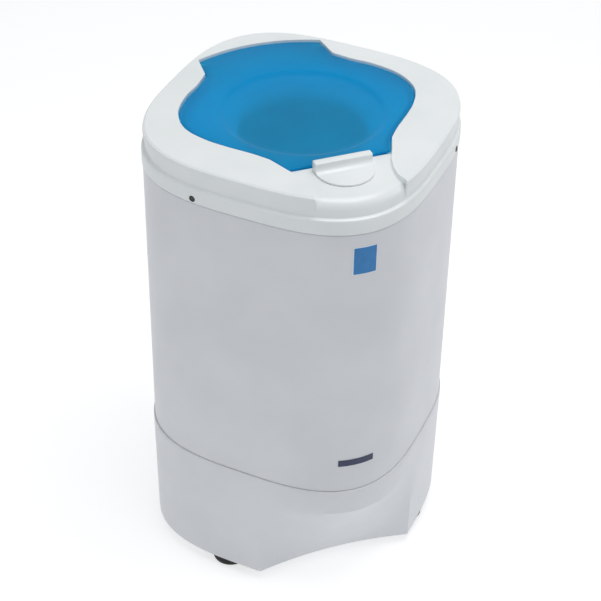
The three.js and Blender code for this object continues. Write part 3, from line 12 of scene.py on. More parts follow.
import bmesh
import bpy
import numpy as np
from mathutils import Matrix, Vector


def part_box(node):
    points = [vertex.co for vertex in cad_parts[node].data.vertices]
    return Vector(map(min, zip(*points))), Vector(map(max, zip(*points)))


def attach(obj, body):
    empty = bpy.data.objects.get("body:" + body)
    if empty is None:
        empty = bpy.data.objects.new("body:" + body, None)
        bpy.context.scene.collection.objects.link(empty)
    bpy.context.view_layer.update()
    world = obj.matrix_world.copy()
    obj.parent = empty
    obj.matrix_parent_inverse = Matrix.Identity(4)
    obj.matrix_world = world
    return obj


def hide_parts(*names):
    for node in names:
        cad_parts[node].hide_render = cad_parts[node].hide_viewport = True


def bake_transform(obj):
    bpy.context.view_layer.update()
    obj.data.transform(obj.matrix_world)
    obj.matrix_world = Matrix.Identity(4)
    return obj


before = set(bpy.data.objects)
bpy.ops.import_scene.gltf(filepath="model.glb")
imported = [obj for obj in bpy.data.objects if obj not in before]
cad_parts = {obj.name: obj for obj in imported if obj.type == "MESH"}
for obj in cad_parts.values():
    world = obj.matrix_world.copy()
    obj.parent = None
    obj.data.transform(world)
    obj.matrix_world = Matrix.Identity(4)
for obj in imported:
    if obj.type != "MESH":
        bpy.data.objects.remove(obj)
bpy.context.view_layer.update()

# %% [markdown]
# ## The camera
# The machine is seen from its front left and from above, with a long lens, so its upright edges lean
# together only a little. A camera is three directions and a place: `back` points from the machine to
# the lens, `right` and `up` span the picture. A slight roll levels the picture as it was taken.

# %% Place the camera
AZIMUTH = -20.98
ELEVATION = 36.42
ROLL = 0.96
DISTANCE = 2.351
AIM = Vector((0.00025, -0.00066, 0.3419))
FOCAL_LENGTH = 106.3


def camera_axes(azimuth, elevation, roll):
    a, e, r = (math.radians(angle) for angle in (azimuth, elevation, roll))
    back = Vector((math.sin(a) * math.cos(e), -math.cos(a) * math.cos(e), math.sin(e)))
    right = Vector((math.cos(a), math.sin(a), 0))
    up = back.cross(right)
    return right * math.cos(r) + up * math.sin(r), up * math.cos(r) - right * math.sin(r), back


right, up, back = camera_axes(AZIMUTH, ELEVATION, ROLL)
lens = bpy.data.cameras.new("portrait_lens")
lens.lens = FOCAL_LENGTH
lens.sensor_width = 36
lens.clip_end = 50
camera = bpy.data.objects.new("camera", lens)
bpy.context.scene.collection.objects.link(camera)
turn = Matrix((right, up, back)).transposed().to_4x4()
camera.matrix_world = Matrix.Translation(AIM + back * DISTANCE) @ turn
bpy.context.scene.camera = camera
bpy.context.scene.view_settings.view_transform = "Standard"
print("camera at", [round(v, 3) for v in camera.matrix_world.translation])

# %% [markdown]
# ## Light and floor
# White plastic shows its shape only through soft differences in light. One large lamp overhead makes
# the ring of the cover the brightest part, and two weaker ones lift the right and the left side. A lamp
# as a wide disk gives soft shadows, where a point or a sun would draw hard ones.

# %% Three soft lamps
LAMP_AIM = Vector((0, 0, 0.3))


def soft_lamp(name, place, size, power):
    """A round lamp that looks at the machine's middle; sizes in metres, power in watts."""
    lamp = bpy.data.lights.new(name, "AREA")
    lamp.shape = "DISK"
    lamp.size = size
    lamp.energy = power
    lamp_object = bpy.data.objects.new(name, lamp)
    bpy.context.scene.collection.objects.link(lamp_object)
    lamp_object.location = place
    aim = LAMP_AIM - Vector(place)
    lamp_object.rotation_euler = aim.to_track_quat("-Z", "Y").to_euler()


soft_lamp("overhead_lamp", (0.3, -0.2, 2.6), 1.6, 24)
soft_lamp("right_lamp", (2.4, -1.3, 1.5), 1.4, 9)
soft_lamp("left_lamp", (-2.2, -1.6, 1.2), 1.6, 10.5)
print("three soft lamps")

# %% [markdown]
# ### Nodes in code
# Every finish below is a small tree of nodes. Three helpers keep the trees readable: one turns a colour
# as a paint chart gives it into the linear one that the renderer works with, one adds a node and links
# what goes into it, and one starts a material.

# %% Colours, nodes and materials
def linear(hex_colour):
    """An sRGB hex colour as linear RGBA."""
    channels = [int(hex_colour[i:i + 2], 16) / 255 for i in (1, 3, 5)]
    curve = [c / 12.92 if c <= 0.04045 else ((c + 0.055) / 1.055) ** 2.4 for c in channels]
    return (*curve, 1.0)


def add(tree, kind, inputs=(), **settings):
    """Adds a node; an input is a value, or another node's output to link from."""
    node = tree.nodes.new(kind)
    for key, value in settings.items():
        setattr(node, key, value)
    for key, value in dict(inputs).items():
        if isinstance(value, bpy.types.NodeSocket):
            tree.links.new(value, node.inputs[key])
        else:
            node.inputs[key].default_value = value
    return node


def new_material(name):
    """An empty node material with its Principled shader joined to the output."""
    material = bpy.data.materials.new(name)
    material.use_nodes = True
    tree = material.node_tree
    tree.nodes.clear()
    shader = add(tree, "ShaderNodeBsdfPrincipled")
    add(tree, "ShaderNodeOutputMaterial", {"Surface": shader.outputs[0]})
    return material, tree, shader


def show_instead(tree, surface):
    """Joins another shader to the material's output."""
    output = next(node for node in tree.nodes if node.bl_idname == "ShaderNodeOutputMaterial")
    tree.links.new(surface, output.inputs["Surface"])


print("mid grey #808080 is", round(linear("#808080")[0], 3), "in linear light")

# %% [markdown]
# ### White surroundings
# The picture stands on white, but white surroundings that shine at full strength would drown the
# machine's soft shading. The Light Path node tells rays apart: those that the eye sees directly, in a
# reflection or through the lid meet white, and those that carry light to the machine meet a dimmer
# one, which keeps the shadows open.

# %% Surroundings
WORLD_LIGHT = 0.36


def seen_by_eye(tree):
    """1 for a ray from the camera, from a reflection or through clear plastic, and 0 for the others."""
    path = add(tree, "ShaderNodeLightPath")
    by_way_of = {0: path.outputs["Is Glossy Ray"], 1: path.outputs["Is Transmission Ray"]}
    through = add(tree, "ShaderNodeMath", by_way_of, operation="MAXIMUM")
    seen = add(tree, "ShaderNodeMath", {0: path.outputs["Is Camera Ray"], 1: through.outputs[0]},
               operation="MAXIMUM")
    return seen.outputs[0]


world = bpy.data.worlds.new("white_room")
bpy.context.scene.world = world
world.use_nodes = True
room = world.node_tree
room.nodes.clear()
seen = seen_by_eye(room)
glow = add(room, "ShaderNodeBackground", {"Color": linear("#f4f6f8"), "Strength": WORLD_LIGHT})
white = add(room, "ShaderNodeBackground", {"Color": linear("#ffffff"), "Strength": 1.0})
either = add(room, "ShaderNodeMixShader", {0: seen, 1: glow.outputs[0], 2: white.outputs[0]})
add(room, "ShaderNodeOutputWorld", {"Surface": either.outputs[0]})
print("surroundings light the machine at", WORLD_LIGHT)

# %% [markdown]
# ### The floor
# A pale sheet that glows a little, more for the eye than for the machine, so it looks near white and
# still shows the machine's shadow. Its underside is clear, so the machine can be seen from below.

# %% Floor
FLOOR_HALF = 6.0
FLOOR_LIGHT = 0.32
FLOOR_SEEN = 0.62
floor_mesh = bpy.data.meshes.new("floor")
corners = [(-1, -1), (1, -1), (1, 1), (-1, 1)]
floor_mesh.from_pydata([(x * FLOOR_HALF, y * FLOOR_HALF, 0) for x, y in corners], [], [(0, 1, 2, 3)])
floor = bpy.data.objects.new("floor", floor_mesh)
bpy.context.scene.collection.objects.link(floor)
paper, tree, shader = new_material("matte_white_paper")
shader.inputs["Base Color"].default_value = linear("#d0d2d4")
shader.inputs["Roughness"].default_value = 0.9
shader.inputs["Specular IOR Level"].default_value = 0.1
shader.inputs["Emission Color"].default_value = linear("#ffffff")
shine = add(tree, "ShaderNodeMapRange",
            {"Value": seen_by_eye(tree), "To Min": FLOOR_LIGHT, "To Max": FLOOR_SEEN})
tree.links.new(shine.outputs["Result"], shader.inputs["Emission Strength"])
from_below = add(tree, "ShaderNodeNewGeometry").outputs["Backfacing"]
nothing = add(tree, "ShaderNodeBsdfTransparent")
one_sided = add(tree, "ShaderNodeMixShader", {0: from_below, 1: shader.outputs[0], 2: nothing.outputs[0]})
show_instead(tree, one_sided.outputs[0])
floor_mesh.materials.append(paper)
print("floor of", 2 * FLOOR_HALF, "m")

# %% [markdown]
# ## Materials
# A finish starts from what the real stuff is. Most of this machine is moulded plastic, and moulded
# plastic has three things that a flat colour lacks: a faint leather-like texture from the mould, which
# breaks up reflections; very slow drifts in tone over a hand's width; and a little grime and rubbing
# near the floor. A pattern's scale is the number of repeats in a metre, so one small function turns a
# size in millimetres into it.

# %% Small helpers for patterns
DRIFT_FROM = 0.32
DRIFT_TO = 0.68


def per_metre(grain_mm):
    """Repeats per metre of a pattern whose grain is this many millimetres."""
    return 1000.0 / grain_mm


def object_place(tree):
    """The place on the piece, in metres."""
    return add(tree, "ShaderNodeTexCoord").outputs["Object"]


def drift(tree, place, shade, light, grain_mm, detail=3.0):
    """A colour that wanders between two near tones."""
    noise = add(tree, "ShaderNodeTexNoise",
                {"Vector": place, "Scale": per_metre(grain_mm), "Detail": detail})
    ramp = add(tree, "ShaderNodeValToRGB", {0: noise.outputs["Fac"]})
    ramp.color_ramp.elements[0].position = DRIFT_FROM
    ramp.color_ramp.elements[0].color = linear(shade)
    ramp.color_ramp.elements[1].position = DRIFT_TO
    ramp.color_ramp.elements[1].color = linear(light)
    return ramp.outputs["Color"]


def grain(tree, shader, place, grain_mm, height_mm, strength, detail=2.0):
    """A fine bump, as a mould or a tool leaves it."""
    noise = add(tree, "ShaderNodeTexNoise",
                {"Vector": place, "Scale": per_metre(grain_mm), "Detail": detail})
    bump = add(tree, "ShaderNodeBump", {"Height": noise.outputs["Fac"], "Strength": strength,
                                        "Distance": height_mm / 1000})
    tree.links.new(bump.outputs["Normal"], shader.inputs["Normal"])
    return noise.outputs["Fac"]


def rough_range(tree, shader, value, low, high):
    """Roughness that follows a pattern between two values."""
    spread = add(tree, "ShaderNodeMapRange", {"Value": value, "To Min": low, "To Max": high})
    tree.links.new(spread.outputs["Result"], shader.inputs["Roughness"])


def blend_colours(tree, amount, first, second):
    """Mixes two colours by a pattern."""
    mix = add(tree, "ShaderNodeMix", {0: amount, 6: first, 7: second}, data_type="RGBA")
    return mix.outputs[2]


print("a grain of 0.8 mm repeats", round(per_metre(0.8)), "times in a metre")

# %% [markdown]
# ### White mouldings
# The cabinet, its base and the cover are injection-moulded ABS, the usual plastic of household
# machines: a cool white, half gloss, IOR 1.53. The mould's fine spark texture is about 0.8 mm from
# grain to grain; at this size of picture it shows only as a slightly broken highlight. The cabinet is a
# touch greyer than the cover, as two mouldings from two batches of granulate are. Scuffs near the
# floor come from shoes and mops, so they fade out over the height of the base.

# %% Moulded ABS
HAND_WIDTH_MM = 90
MOULD_GRAIN_MM = 0.8
SCUFF_MM = 16
SCUFFS_FULL_Z = 0.02
SCUFFS_END_Z = 0.16
SCUFF_STRENGTH = 0.16


def moulded_abs(name, shade, light, scuffed=False, gloss=0.32):
    """A white moulding; gloss is its roughness, give or take a little."""
    material, tree, shader = new_material(name)
    place = object_place(tree)
    colour = drift(tree, place, shade, light, HAND_WIDTH_MM)
    if scuffed:
        streaks = add(tree, "ShaderNodeMapping", {"Vector": place, "Scale": (1.0, 1.0, 0.25)})
        marks = add(tree, "ShaderNodeTexNoise", {"Vector": streaks.outputs[0], "Scale": per_metre(SCUFF_MM),
                                                 "Detail": 6.0, "Roughness": 0.65})
        few = add(tree, "ShaderNodeMapRange", {"Value": marks.outputs["Fac"], "From Min": 0.6,
                                               "From Max": 0.78, "To Min": 0.0, "To Max": SCUFF_STRENGTH})
        height = add(tree, "ShaderNodeSeparateXYZ", {0: place})
        low = add(tree, "ShaderNodeMapRange", {"Value": height.outputs["Z"], "From Min": SCUFFS_END_Z,
                                               "From Max": SCUFFS_FULL_Z, "To Min": 0.0, "To Max": 1.0})
        both = add(tree, "ShaderNodeMath", {0: few.outputs[0], 1: low.outputs[0]}, operation="MULTIPLY")
        colour = blend_colours(tree, both.outputs[0], colour, linear("#8d8f90"))
    tree.links.new(colour, shader.inputs["Base Color"])
    fine = grain(tree, shader, place, MOULD_GRAIN_MM, 0.03, 0.25)
    rough_range(tree, shader, fine, gloss - 0.04, gloss + 0.06)
    shader.inputs["IOR"].default_value = 1.53
    return material


cover_white = moulded_abs("moulded_abs_bright_white", "#e6ebec", "#edf1f2", gloss=0.3)
cabinet_white = moulded_abs("moulded_abs_cool_white", "#d9dbe0", "#dfe1e6", gloss=0.36)
base_white = moulded_abs("moulded_abs_scuffed_white", "#dbdde1", "#e1e3e7", scuffed=True, gloss=0.36)
collar_white = moulded_abs("moulded_polypropylene_white", "#dfe4e6", "#e6eaec", gloss=0.42)
print("white mouldings:", cover_white.name, cabinet_white.name, base_white.name, collar_white.name)

# %% [markdown]
# ### The blue lid
# The lid is translucent SAN, a clear hard plastic with blue dye, moulded with satin faces. Part of the
# light scatters back from the dye, and the rest goes straight through both faces, takes on the dye's
# colour and comes back from the white collar below. So the blue is brightest over the collar and deep
# over the drum. A scattering shader that also lets half of its light through softly stands for the dyed
# body of the plastic, and a tinted clear one for what goes straight through. Lamp light that goes in
# takes the clear way more often than the eye does, or the collar would stay dark.

# %% Translucent blue
LOOK_THROUGH = 0.34
LIGHT_THROUGH = 0.74
WAVE_MM = 45


def dyed_clear_plastic():
    """Translucent blue with a slow wave in its faces, as clear mouldings have."""
    material, tree, shader = new_material("translucent_san_blue")
    place = object_place(tree)
    colour = drift(tree, place, "#04a0cf", "#07abdb", 120)
    tree.links.new(colour, shader.inputs["Base Color"])
    shader.inputs["IOR"].default_value = 1.3
    shader.inputs["Specular IOR Level"].default_value = 0.08
    wave = add(tree, "ShaderNodeTexNoise", {"Vector": place, "Scale": per_metre(WAVE_MM), "Detail": 1.0})
    bump = add(tree, "ShaderNodeBump",
               {"Height": wave.outputs["Fac"], "Strength": 0.12, "Distance": 0.0004})
    tree.links.new(bump.outputs["Normal"], shader.inputs["Normal"])
    rough_range(tree, shader, wave.outputs["Fac"], 0.28, 0.38)
    shader.inputs["Transmission Weight"].default_value = 0.5
    clear = add(tree, "ShaderNodeBsdfTransparent", {"Color": linear("#6ce7fa")})
    lamp_way = add(tree, "ShaderNodeLightPath").outputs["Is Shadow Ray"]
    share = add(tree, "ShaderNodeMapRange",
                {"Value": lamp_way, "To Min": LOOK_THROUGH, "To Max": LIGHT_THROUGH})
    both = add(tree, "ShaderNodeMixShader",
               {0: share.outputs[0], 1: shader.outputs[0], 2: clear.outputs[0]})
    show_instead(tree, both.outputs[0])
    return material


lid_blue = dyed_clear_plastic()
print("lid finish:", lid_blue.name)

# %% [markdown]
# ### Metals
# The drum is anodised aluminium sheet, satin, with faint rings from spinning it to shape. Plates and
# pins are zinc-plated steel, whose bright plating has a blotchy bluish bloom of a few millimetres. The
# motor's end cap is cast aluminium with a skin like fine sand, and the springs are oiled wire. A bare
# metal's colour is its reflection, so metallic is 1 and the colour is light.

# %% Metal finishes
def metal(name, shade, light, bloom_mm, roughness, grain_mm, height_mm, stretch=(1, 1, 1)):
    """A bare metal; a stretch under 1 draws its pattern out along that axis."""
    material, tree, shader = new_material(name)
    place = add(tree, "ShaderNodeMapping", {"Vector": object_place(tree), "Scale": stretch}).outputs[0]
    tree.links.new(drift(tree, place, shade, light, bloom_mm), shader.inputs["Base Color"])
    fine = grain(tree, shader, place, grain_mm, height_mm, 0.3)
    rough_range(tree, shader, fine, roughness - 0.06, roughness + 0.08)
    shader.inputs["Metallic"].default_value = 1.0
    return material


drum_metal = metal("anodised_aluminium_satin", "#b9bdc0", "#c9ccce", 60, 0.34, 2.2, 0.02, (0.15, 0.15, 1))
zinc_steel = metal("zinc_plated_steel", "#a7abb1", "#c0c3c8", 7, 0.36, 1.2, 0.02)
cast_aluminium = metal("cast_aluminium", "#9a9c9e", "#adafb1", 12, 0.55, 1.0, 0.08)
spring_steel = metal("spring_steel_oiled", "#6e7073", "#83868a", 9, 0.3, 1.5, 0.02)
print("metals:", drum_metal.name, zinc_steel.name, cast_aluminium.name, spring_steel.name)

# %% [markdown]
# ### Black enamel
# The motor plate and the screws are steel under baked black enamel. To the eye that is a half-glossy
# paint and not a metal, so metallic stays 0.

# %% Enamelled steel
def black_enamel(name, shade, light, gloss):
    """Baked paint on steel, with the slight skin of an orange."""
    material, tree, shader = new_material(name)
    place = object_place(tree)
    tree.links.new(drift(tree, place, shade, light, 18), shader.inputs["Base Color"])
    fine = grain(tree, shader, place, 1.1, 0.04, 0.35)
    rough_range(tree, shader, fine, gloss, gloss + 0.12)
    return material


black_steel = black_enamel("black_enamelled_steel", "#17181a", "#222326", 0.35)
print("enamel:", black_steel.name)

# %% [markdown]
# ### Rubber, grey plastic, windings and print
# Moulded rubber is never truly black: a bloom of wax makes it a dusty charcoal and nearly matt. The tub
# and small fittings are grey polypropylene, softer and waxier than ABS. The stator shows lacquered
# copper wound over steel sheets. The badge and the plain plate are printed polyester film.

# %% The other finishes
def soft_matter(name, shade, light, drift_mm, roughness, grain_mm, height_mm, ior=1.5):
    """Rubber, plastic, lacquer or film, by its tones, grain and roughness."""
    material, tree, shader = new_material(name)
    place = object_place(tree)
    tree.links.new(drift(tree, place, shade, light, drift_mm), shader.inputs["Base Color"])
    fine = grain(tree, shader, place, grain_mm, height_mm, 0.4)
    rough_range(tree, shader, fine, roughness - 0.05, roughness + 0.08)
    shader.inputs["IOR"].default_value = ior
    return material


rubber = soft_matter("moulded_black_rubber", "#131313", "#1f1f20", 14, 0.72, 0.9, 0.05, 1.52)
grey_plastic = soft_matter("moulded_polypropylene_grey", "#84898d", "#8f9498", 50, 0.45, 0.8, 0.03, 1.49)
copper_winding = soft_matter("lacquered_copper_winding", "#7a3f1d", "#a85f30", 4, 0.35, 0.7, 0.2, 1.5)
badge_film = soft_matter("printed_film_blue", "#1a73b4", "#1f7cbe", 12, 0.3, 0.5, 0.01, 1.5)
badge_light = soft_matter("printed_film_white", "#dfe7ee", "#e9eff4", 12, 0.3, 0.5, 0.01, 1.5)
navy_film = soft_matter("printed_film_navy", "#1d2747", "#253056", 8, 0.3, 0.5, 0.01, 1.5)
print("others:", rubber.name, grey_plastic.name, copper_winding.name, badge_film.name, navy_film.name)

# %% [markdown]
# ## Shapes
# Every large moulding here is a grid of points: columns that go round the machine and rows that go up
# its outside, over an edge and down its inside. Such a grid closes on itself, so the moulding has a real
# wall. The frame gives the plan's width and depth; its outline is a superellipse, which is a circle
# whose exponent is raised until it looks like a rounded square, turned by 45 degrees so that a corner
# faces front.

# %% Plan outline, from the frame
def millimetres(node):
    """A node's lowest and highest corners in millimetres."""
    low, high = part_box(node)
    return low * 1000, high * 1000


# the mouldings stay this far inside the solids that they stand for
SHY = 0.2
cover_low, cover_high = millimetres("top_cover")
HALF_WIDTH = cover_high.x - SHY
HALF_DEPTH = cover_high.y - SHY
SQUARENESS = 3.08
FRONT_TURN = -135.0
TOE_ANGLE = 42.4
TOE_COLUMNS = 28
REST_COLUMNS = 126


def plan_point(turn, inset=0.0):
    """A point of the outline at a parameter in degrees, drawn in by an inset, and the outward normal."""
    c, s = math.cos(math.radians(turn)), math.sin(math.radians(turn))
    u = math.copysign(abs(c) ** (2 / SQUARENESS), c)
    v = math.copysign(abs(s) ** (2 / SQUARENESS), s)
    across, along = HALF_WIDTH - inset, HALF_DEPTH - inset
    widen = math.sqrt(2) * 2 ** (0.5 - 1 / SQUARENESS)
    slope_u = math.copysign(abs(u) ** (SQUARENESS - 1), u)
    slope_v = math.copysign(abs(v) ** (SQUARENESS - 1), v)
    normal = Vector(((slope_u - slope_v) / across, (slope_u + slope_v) / along)).normalized()
    return Vector(((u - v) / widen * across, (u + v) / widen * along)), normal


turns = [FRONT_TURN - TOE_ANGLE + 2 * TOE_ANGLE * i / TOE_COLUMNS for i in range(TOE_COLUMNS)]
rest_angle = 360 - 2 * TOE_ANGLE
turns += [FRONT_TURN + TOE_ANGLE + rest_angle * i / REST_COLUMNS for i in range(REST_COLUMNS)]


def level(z, inset):
    """The outline as a row of points at a height."""
    return [(*plan_point(turn, inset)[0], z) for turn in turns]


print("plan", round(2 * HALF_WIDTH), "x", round(2 * HALF_DEPTH), "mm in", len(turns), "columns")

# %% [markdown]
# A mesh becomes a piece in one place: it gets its material, the body that carries it and rounded
# edges, and the solid that it stands for is hidden. Rounding every edge by half a millimetre is what
# makes a moulding look moulded, because each edge then catches a thin line of light.

# %% From points to pieces
SAME_PLACE = 2e-6


def piece(name, points, faces, material, body, nodes=(), slot=None, edge=0.0, sharp=38.0):
    """A mesh piece from points in millimetres. One without a body is left without a parent."""
    mesh = bpy.data.meshes.new(name)
    mesh.from_pydata([Vector(point) / 1000 for point in points], [], faces)
    shell = bmesh.new()
    shell.from_mesh(mesh)
    bmesh.ops.remove_doubles(shell, verts=shell.verts, dist=SAME_PLACE)
    bmesh.ops.recalc_face_normals(shell, faces=shell.faces)
    shell.to_mesh(mesh)
    shell.free()
    thing = bpy.data.objects.new(name, mesh)
    bpy.context.scene.collection.objects.link(thing)
    if edge:
        rounding = thing.modifiers.new("rounding", "BEVEL")
        rounding.width = edge / 1000
        rounding.segments = 2
        rounding.limit_method = "ANGLE"
        rounding.angle_limit = math.radians(sharp)
        rounding.use_clamp_overlap = True
        final = thing.evaluated_get(bpy.context.evaluated_depsgraph_get())
        rounded = bpy.data.meshes.new_from_object(final)
        thing.modifiers.clear()
        thing.data = rounded
        rounded.name = name
    thing.data.materials.clear()
    thing.data.materials.append(material)
    thing.data.shade_smooth()
    thing.data.set_sharp_from_angle(angle=math.radians(sharp))
    if body:
        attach(thing, body)
    if nodes:
        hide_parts(*nodes)
    return thing


print("corners nearer than", SAME_PLACE * 1000, "mm are joined")

# %% [markdown]
# Nearly every shape is rows of points with faces between them. What differs is where the rows lie: round
# an axis for a turned piece, at two heights for a plate, at two sides for a bar, and along a curve for
# the rest.

# %% Lofts, turned pieces, plates and bars
# a profile that ends on the axis ends this far from it, so that its last row is still a ring
THIN = 0.01


def grid_faces(rows, columns, rows_close=True, first=0):
    """Quads of a grid whose columns go round; its rows go round too if they close."""
    faces = []
    for r in range(rows if rows_close else rows - 1):
        low, high = first + r * columns, first + ((r + 1) % rows) * columns
        for c in range(columns):
            n = (c + 1) % columns
            faces.append((low + c, low + n, high + n, high + c))
    return faces


def loft(name, rows, material, body, close=True, **facts):
    """A piece through rows of points; an open one gets a flat face over each end."""
    columns = len(rows[0])
    points = [point for row in rows for point in row]
    faces = grid_faces(len(rows), columns, close)
    if not close:
        faces.append(tuple(reversed(range(columns))))
        faces.append(tuple(range(len(points) - columns, len(points))))
    return piece(name, points, faces, material, body, **facts)


def circle_row(radius, z, sides):
    """Points round a circle at a height."""
    return [(radius * math.cos(2 * math.pi * i / sides), radius * math.sin(2 * math.pi * i / sides), z)
            for i in range(sides)]


def facing(spot, outward):
    """A place at a spot whose local Z points outward."""
    return Matrix.Translation(spot) @ outward.to_track_quat("Z", "Y").to_matrix().to_4x4()


def placed(rows, place):
    """Rows of points carried to a place."""
    return [[tuple(place @ Vector(point)) for point in row] for row in rows]


def lathe(name, profile, material, body, sides=72, place=None, close=True, **facts):
    """A turned piece from (radius, height) points; place puts it somewhere else, turned."""
    rows = [circle_row(max(radius, THIN), z, sides) for radius, z in profile]
    if place is not None:
        rows = placed(rows, place)
    return loft(name, rows, material, body, close=close, **facts)


def slab(name, outline, low, high, material, body, **facts):
    """A flat plate from a plan outline."""
    return loft(name, [[(x, y, low) for x, y in outline], [(x, y, high) for x, y in outline]],
                material, body, close=False, **facts)


def crosswise(name, outline, x_from, x_to, material, body, **facts):
    """A bar with a side outline of (y, z) points, from one x to another."""
    return loft(name, [[(x_from, y, z) for y, z in outline], [(x_to, y, z) for y, z in outline]],
                material, body, close=False, **facts)


print("helpers for lofts, turned pieces, slabs and bars")

# %% [markdown]
# ### Base and cabinet
# The base flares a little towards its seam with the cabinet, and its front corner is drawn back towards
# the floor into a toe recess, so that one can stand close. The cabinet above is almost plumb. The seam
# is a real step of two millimetres with a hair-wide joint in it.

# %% The base
SHELL_WALL = 3.0
CLEARANCE = 0.3
FOOT_SHOWING = millimetres("base_shell")[0].z
CREASE_Z = millimetres("cabinet")[0].z - CLEARANCE
TOE_TOP_Z = 148.0
TOE_HALF_WIDTH = 109.0
TOE_CORNER_Y = -147.5
TOE_MIDDLE_Y = -136.0
TOE_ROWS = (28, 42, 56, 70, 84, 98, 112, 126, 138)
UPPER_BASE_ROWS = (160, 172)
# the inside needs fewer rows
TOE_ROWS_INSIDE = (126, 98, 70)
# insets from the plan outline at the lower and the upper end
BASE_INSETS = (3.4, 0.8)
CABINET_INSETS = (2.7, 1.3)
LIP = 11.0


def base_inset(z):
    """How far the base stands in from the outline at a height."""
    return float(np.interp(z, (FOOT_SHOWING, CREASE_Z), BASE_INSETS))


def toe_level(z, inset, wall=0.0):
    """A row whose front corner is drawn back, fully at the floor and not at all at the recess's top."""
    depth = min(max((TOE_TOP_Z - z) / (TOE_TOP_Z - FOOT_SHOWING), 0.0), 1.0)
    row = level(z, inset)
    crease_x = row[TOE_COLUMNS][0]
    for i in range(1, TOE_COLUMNS):
        x, y, _ = row[i]
        across = x / crease_x
        panel_x = across * (TOE_HALF_WIDTH - wall)
        panel_y = TOE_MIDDLE_Y + (TOE_CORNER_Y - TOE_MIDDLE_Y) * across ** 2 + wall
        row[i] = (x + (panel_x - x) * depth, y + (panel_y - y) * depth, z)
    return row


base_heights = [FOOT_SHOWING + 1.5, *TOE_ROWS, TOE_TOP_Z, *UPPER_BASE_ROWS, CREASE_Z - 1.4]
spigot_z = millimetres("base_shell")[1].z
spigot_inset = CABINET_INSETS[0] + SHELL_WALL + CLEARANCE
base_rows = [toe_level(FOOT_SHOWING, BASE_INSETS[0] + 1)]
base_rows += [toe_level(z, base_inset(z)) for z in base_heights]
base_rows += [level(CREASE_Z - 0.4, base_inset(CREASE_Z) + 0.3), level(CREASE_Z, base_inset(CREASE_Z) + 1),
              level(CREASE_Z, spigot_inset), level(spigot_z, spigot_inset),
              level(spigot_z, spigot_inset + SHELL_WALL),
              level(UPPER_BASE_ROWS[0], base_inset(UPPER_BASE_ROWS[0]) + SHELL_WALL)]
base_rows += [toe_level(z, base_inset(z) + SHELL_WALL, SHELL_WALL) for z in TOE_ROWS_INSIDE]
lip_z = millimetres("base_plate")[1].z + CLEARANCE
base_rows += [toe_level(lip_z + SHELL_WALL, BASE_INSETS[0] + SHELL_WALL, SHELL_WALL),
              toe_level(lip_z + SHELL_WALL, BASE_INSETS[0] + SHELL_WALL + LIP, SHELL_WALL + LIP),
              toe_level(lip_z, BASE_INSETS[0] + SHELL_WALL + LIP, SHELL_WALL + LIP),
              toe_level(lip_z, BASE_INSETS[0] + SHELL_WALL, SHELL_WALL),
              toe_level(FOOT_SHOWING, BASE_INSETS[0] + SHELL_WALL, SHELL_WALL)]
loft("base_skin", base_rows, base_white, "housing", nodes=["base_shell"], slot="body_plastic", sharp=24)
print("base of", len(base_rows), "rows")

# %% [markdown]
# The cabinet is a tube. Its foot goes over the base's spigot, and its top steps in by a joggle, over
# which the cover's band fits, so that the outside runs on evenly.

# %% The cabinet
BAND_Z = cover_low.z
CABINET_TOP_Z = millimetres("cabinet")[1].z
CABINET_ROWS = (230, 290, 350, 410, 470, 530)
CABINET_ROWS_INSIDE = (410, 290)
JOGGLE = 3.0


def cabinet_inset(z):
    """How far the cabinet stands in from the outline at a height."""
    return float(np.interp(z, (CREASE_Z, BAND_Z), CABINET_INSETS))


cabinet_rows = [level(CREASE_Z + CLEARANCE, CABINET_INSETS[0] + 0.9),
                level(CREASE_Z + 1.1, CABINET_INSETS[0] + 0.1)]
cabinet_rows += [level(z, cabinet_inset(z)) for z in (*CABINET_ROWS, BAND_Z - 2.2)]
cabinet_rows += [level(BAND_Z - 1.4, CABINET_INSETS[1] + 0.7), level(BAND_Z - 1, JOGGLE),
                 level(CABINET_TOP_Z, JOGGLE), level(CABINET_TOP_Z, JOGGLE + SHELL_WALL),
                 level(BAND_Z - 2, JOGGLE + SHELL_WALL), level(BAND_Z - 12, CABINET_INSETS[1] + SHELL_WALL)]
cabinet_rows += [level(z, cabinet_inset(z) + SHELL_WALL) for z in CABINET_ROWS_INSIDE]
cabinet_rows += [level(CREASE_Z + CLEARANCE, CABINET_INSETS[0] + SHELL_WALL)]
loft("cabinet_skin", cabinet_rows, cabinet_white, "housing", nodes=["cabinet"], slot="body_plastic",
     sharp=24)
print("cabinet of", len(cabinet_rows), "rows")

# %% [markdown]
# ### The lid's outline
# The lid is a shield: straight at the front, widest at the machine's middle, pinched before the hinge
# and bowed at the back. A Catmull-Rom spline through ten places gives its side; it passes through each
# place with a slope set by its neighbours. The back edge is an arc through the two rear ears.

# %% Outline of the lid
LID_FRONT = (66.0, -120.0)
LID_EAR = (82.0, 160.0)
LID_BACK_Y = 177.5
LID_SIDE = [(76.5, -95), (92.5, -75), (116, -50), (134.5, -27), (148, 0), (149.5, 25), (142, 52),
            (123, 80), (103, 100), (85, 123)]
SPLINE_STEPS = 8
BACK_STEPS = 16


def spline(places, steps):
    """Catmull-Rom curve through places in the plane."""
    guide = [places[0], *places, places[-1]]
    curve = []
    for a, b, c, d in zip(guide, guide[1:], guide[2:], guide[3:]):
        for k in range(steps):
            t = k / steps
            curve.append(tuple(0.5 * (2 * b[i] + (c[i] - a[i]) * t
                                      + (2 * a[i] - 5 * b[i] + 4 * c[i] - d[i]) * t * t
                                      + (3 * b[i] - 3 * c[i] + d[i] - a[i]) * t ** 3) for i in (0, 1)))
    return [*curve, places[-1]]


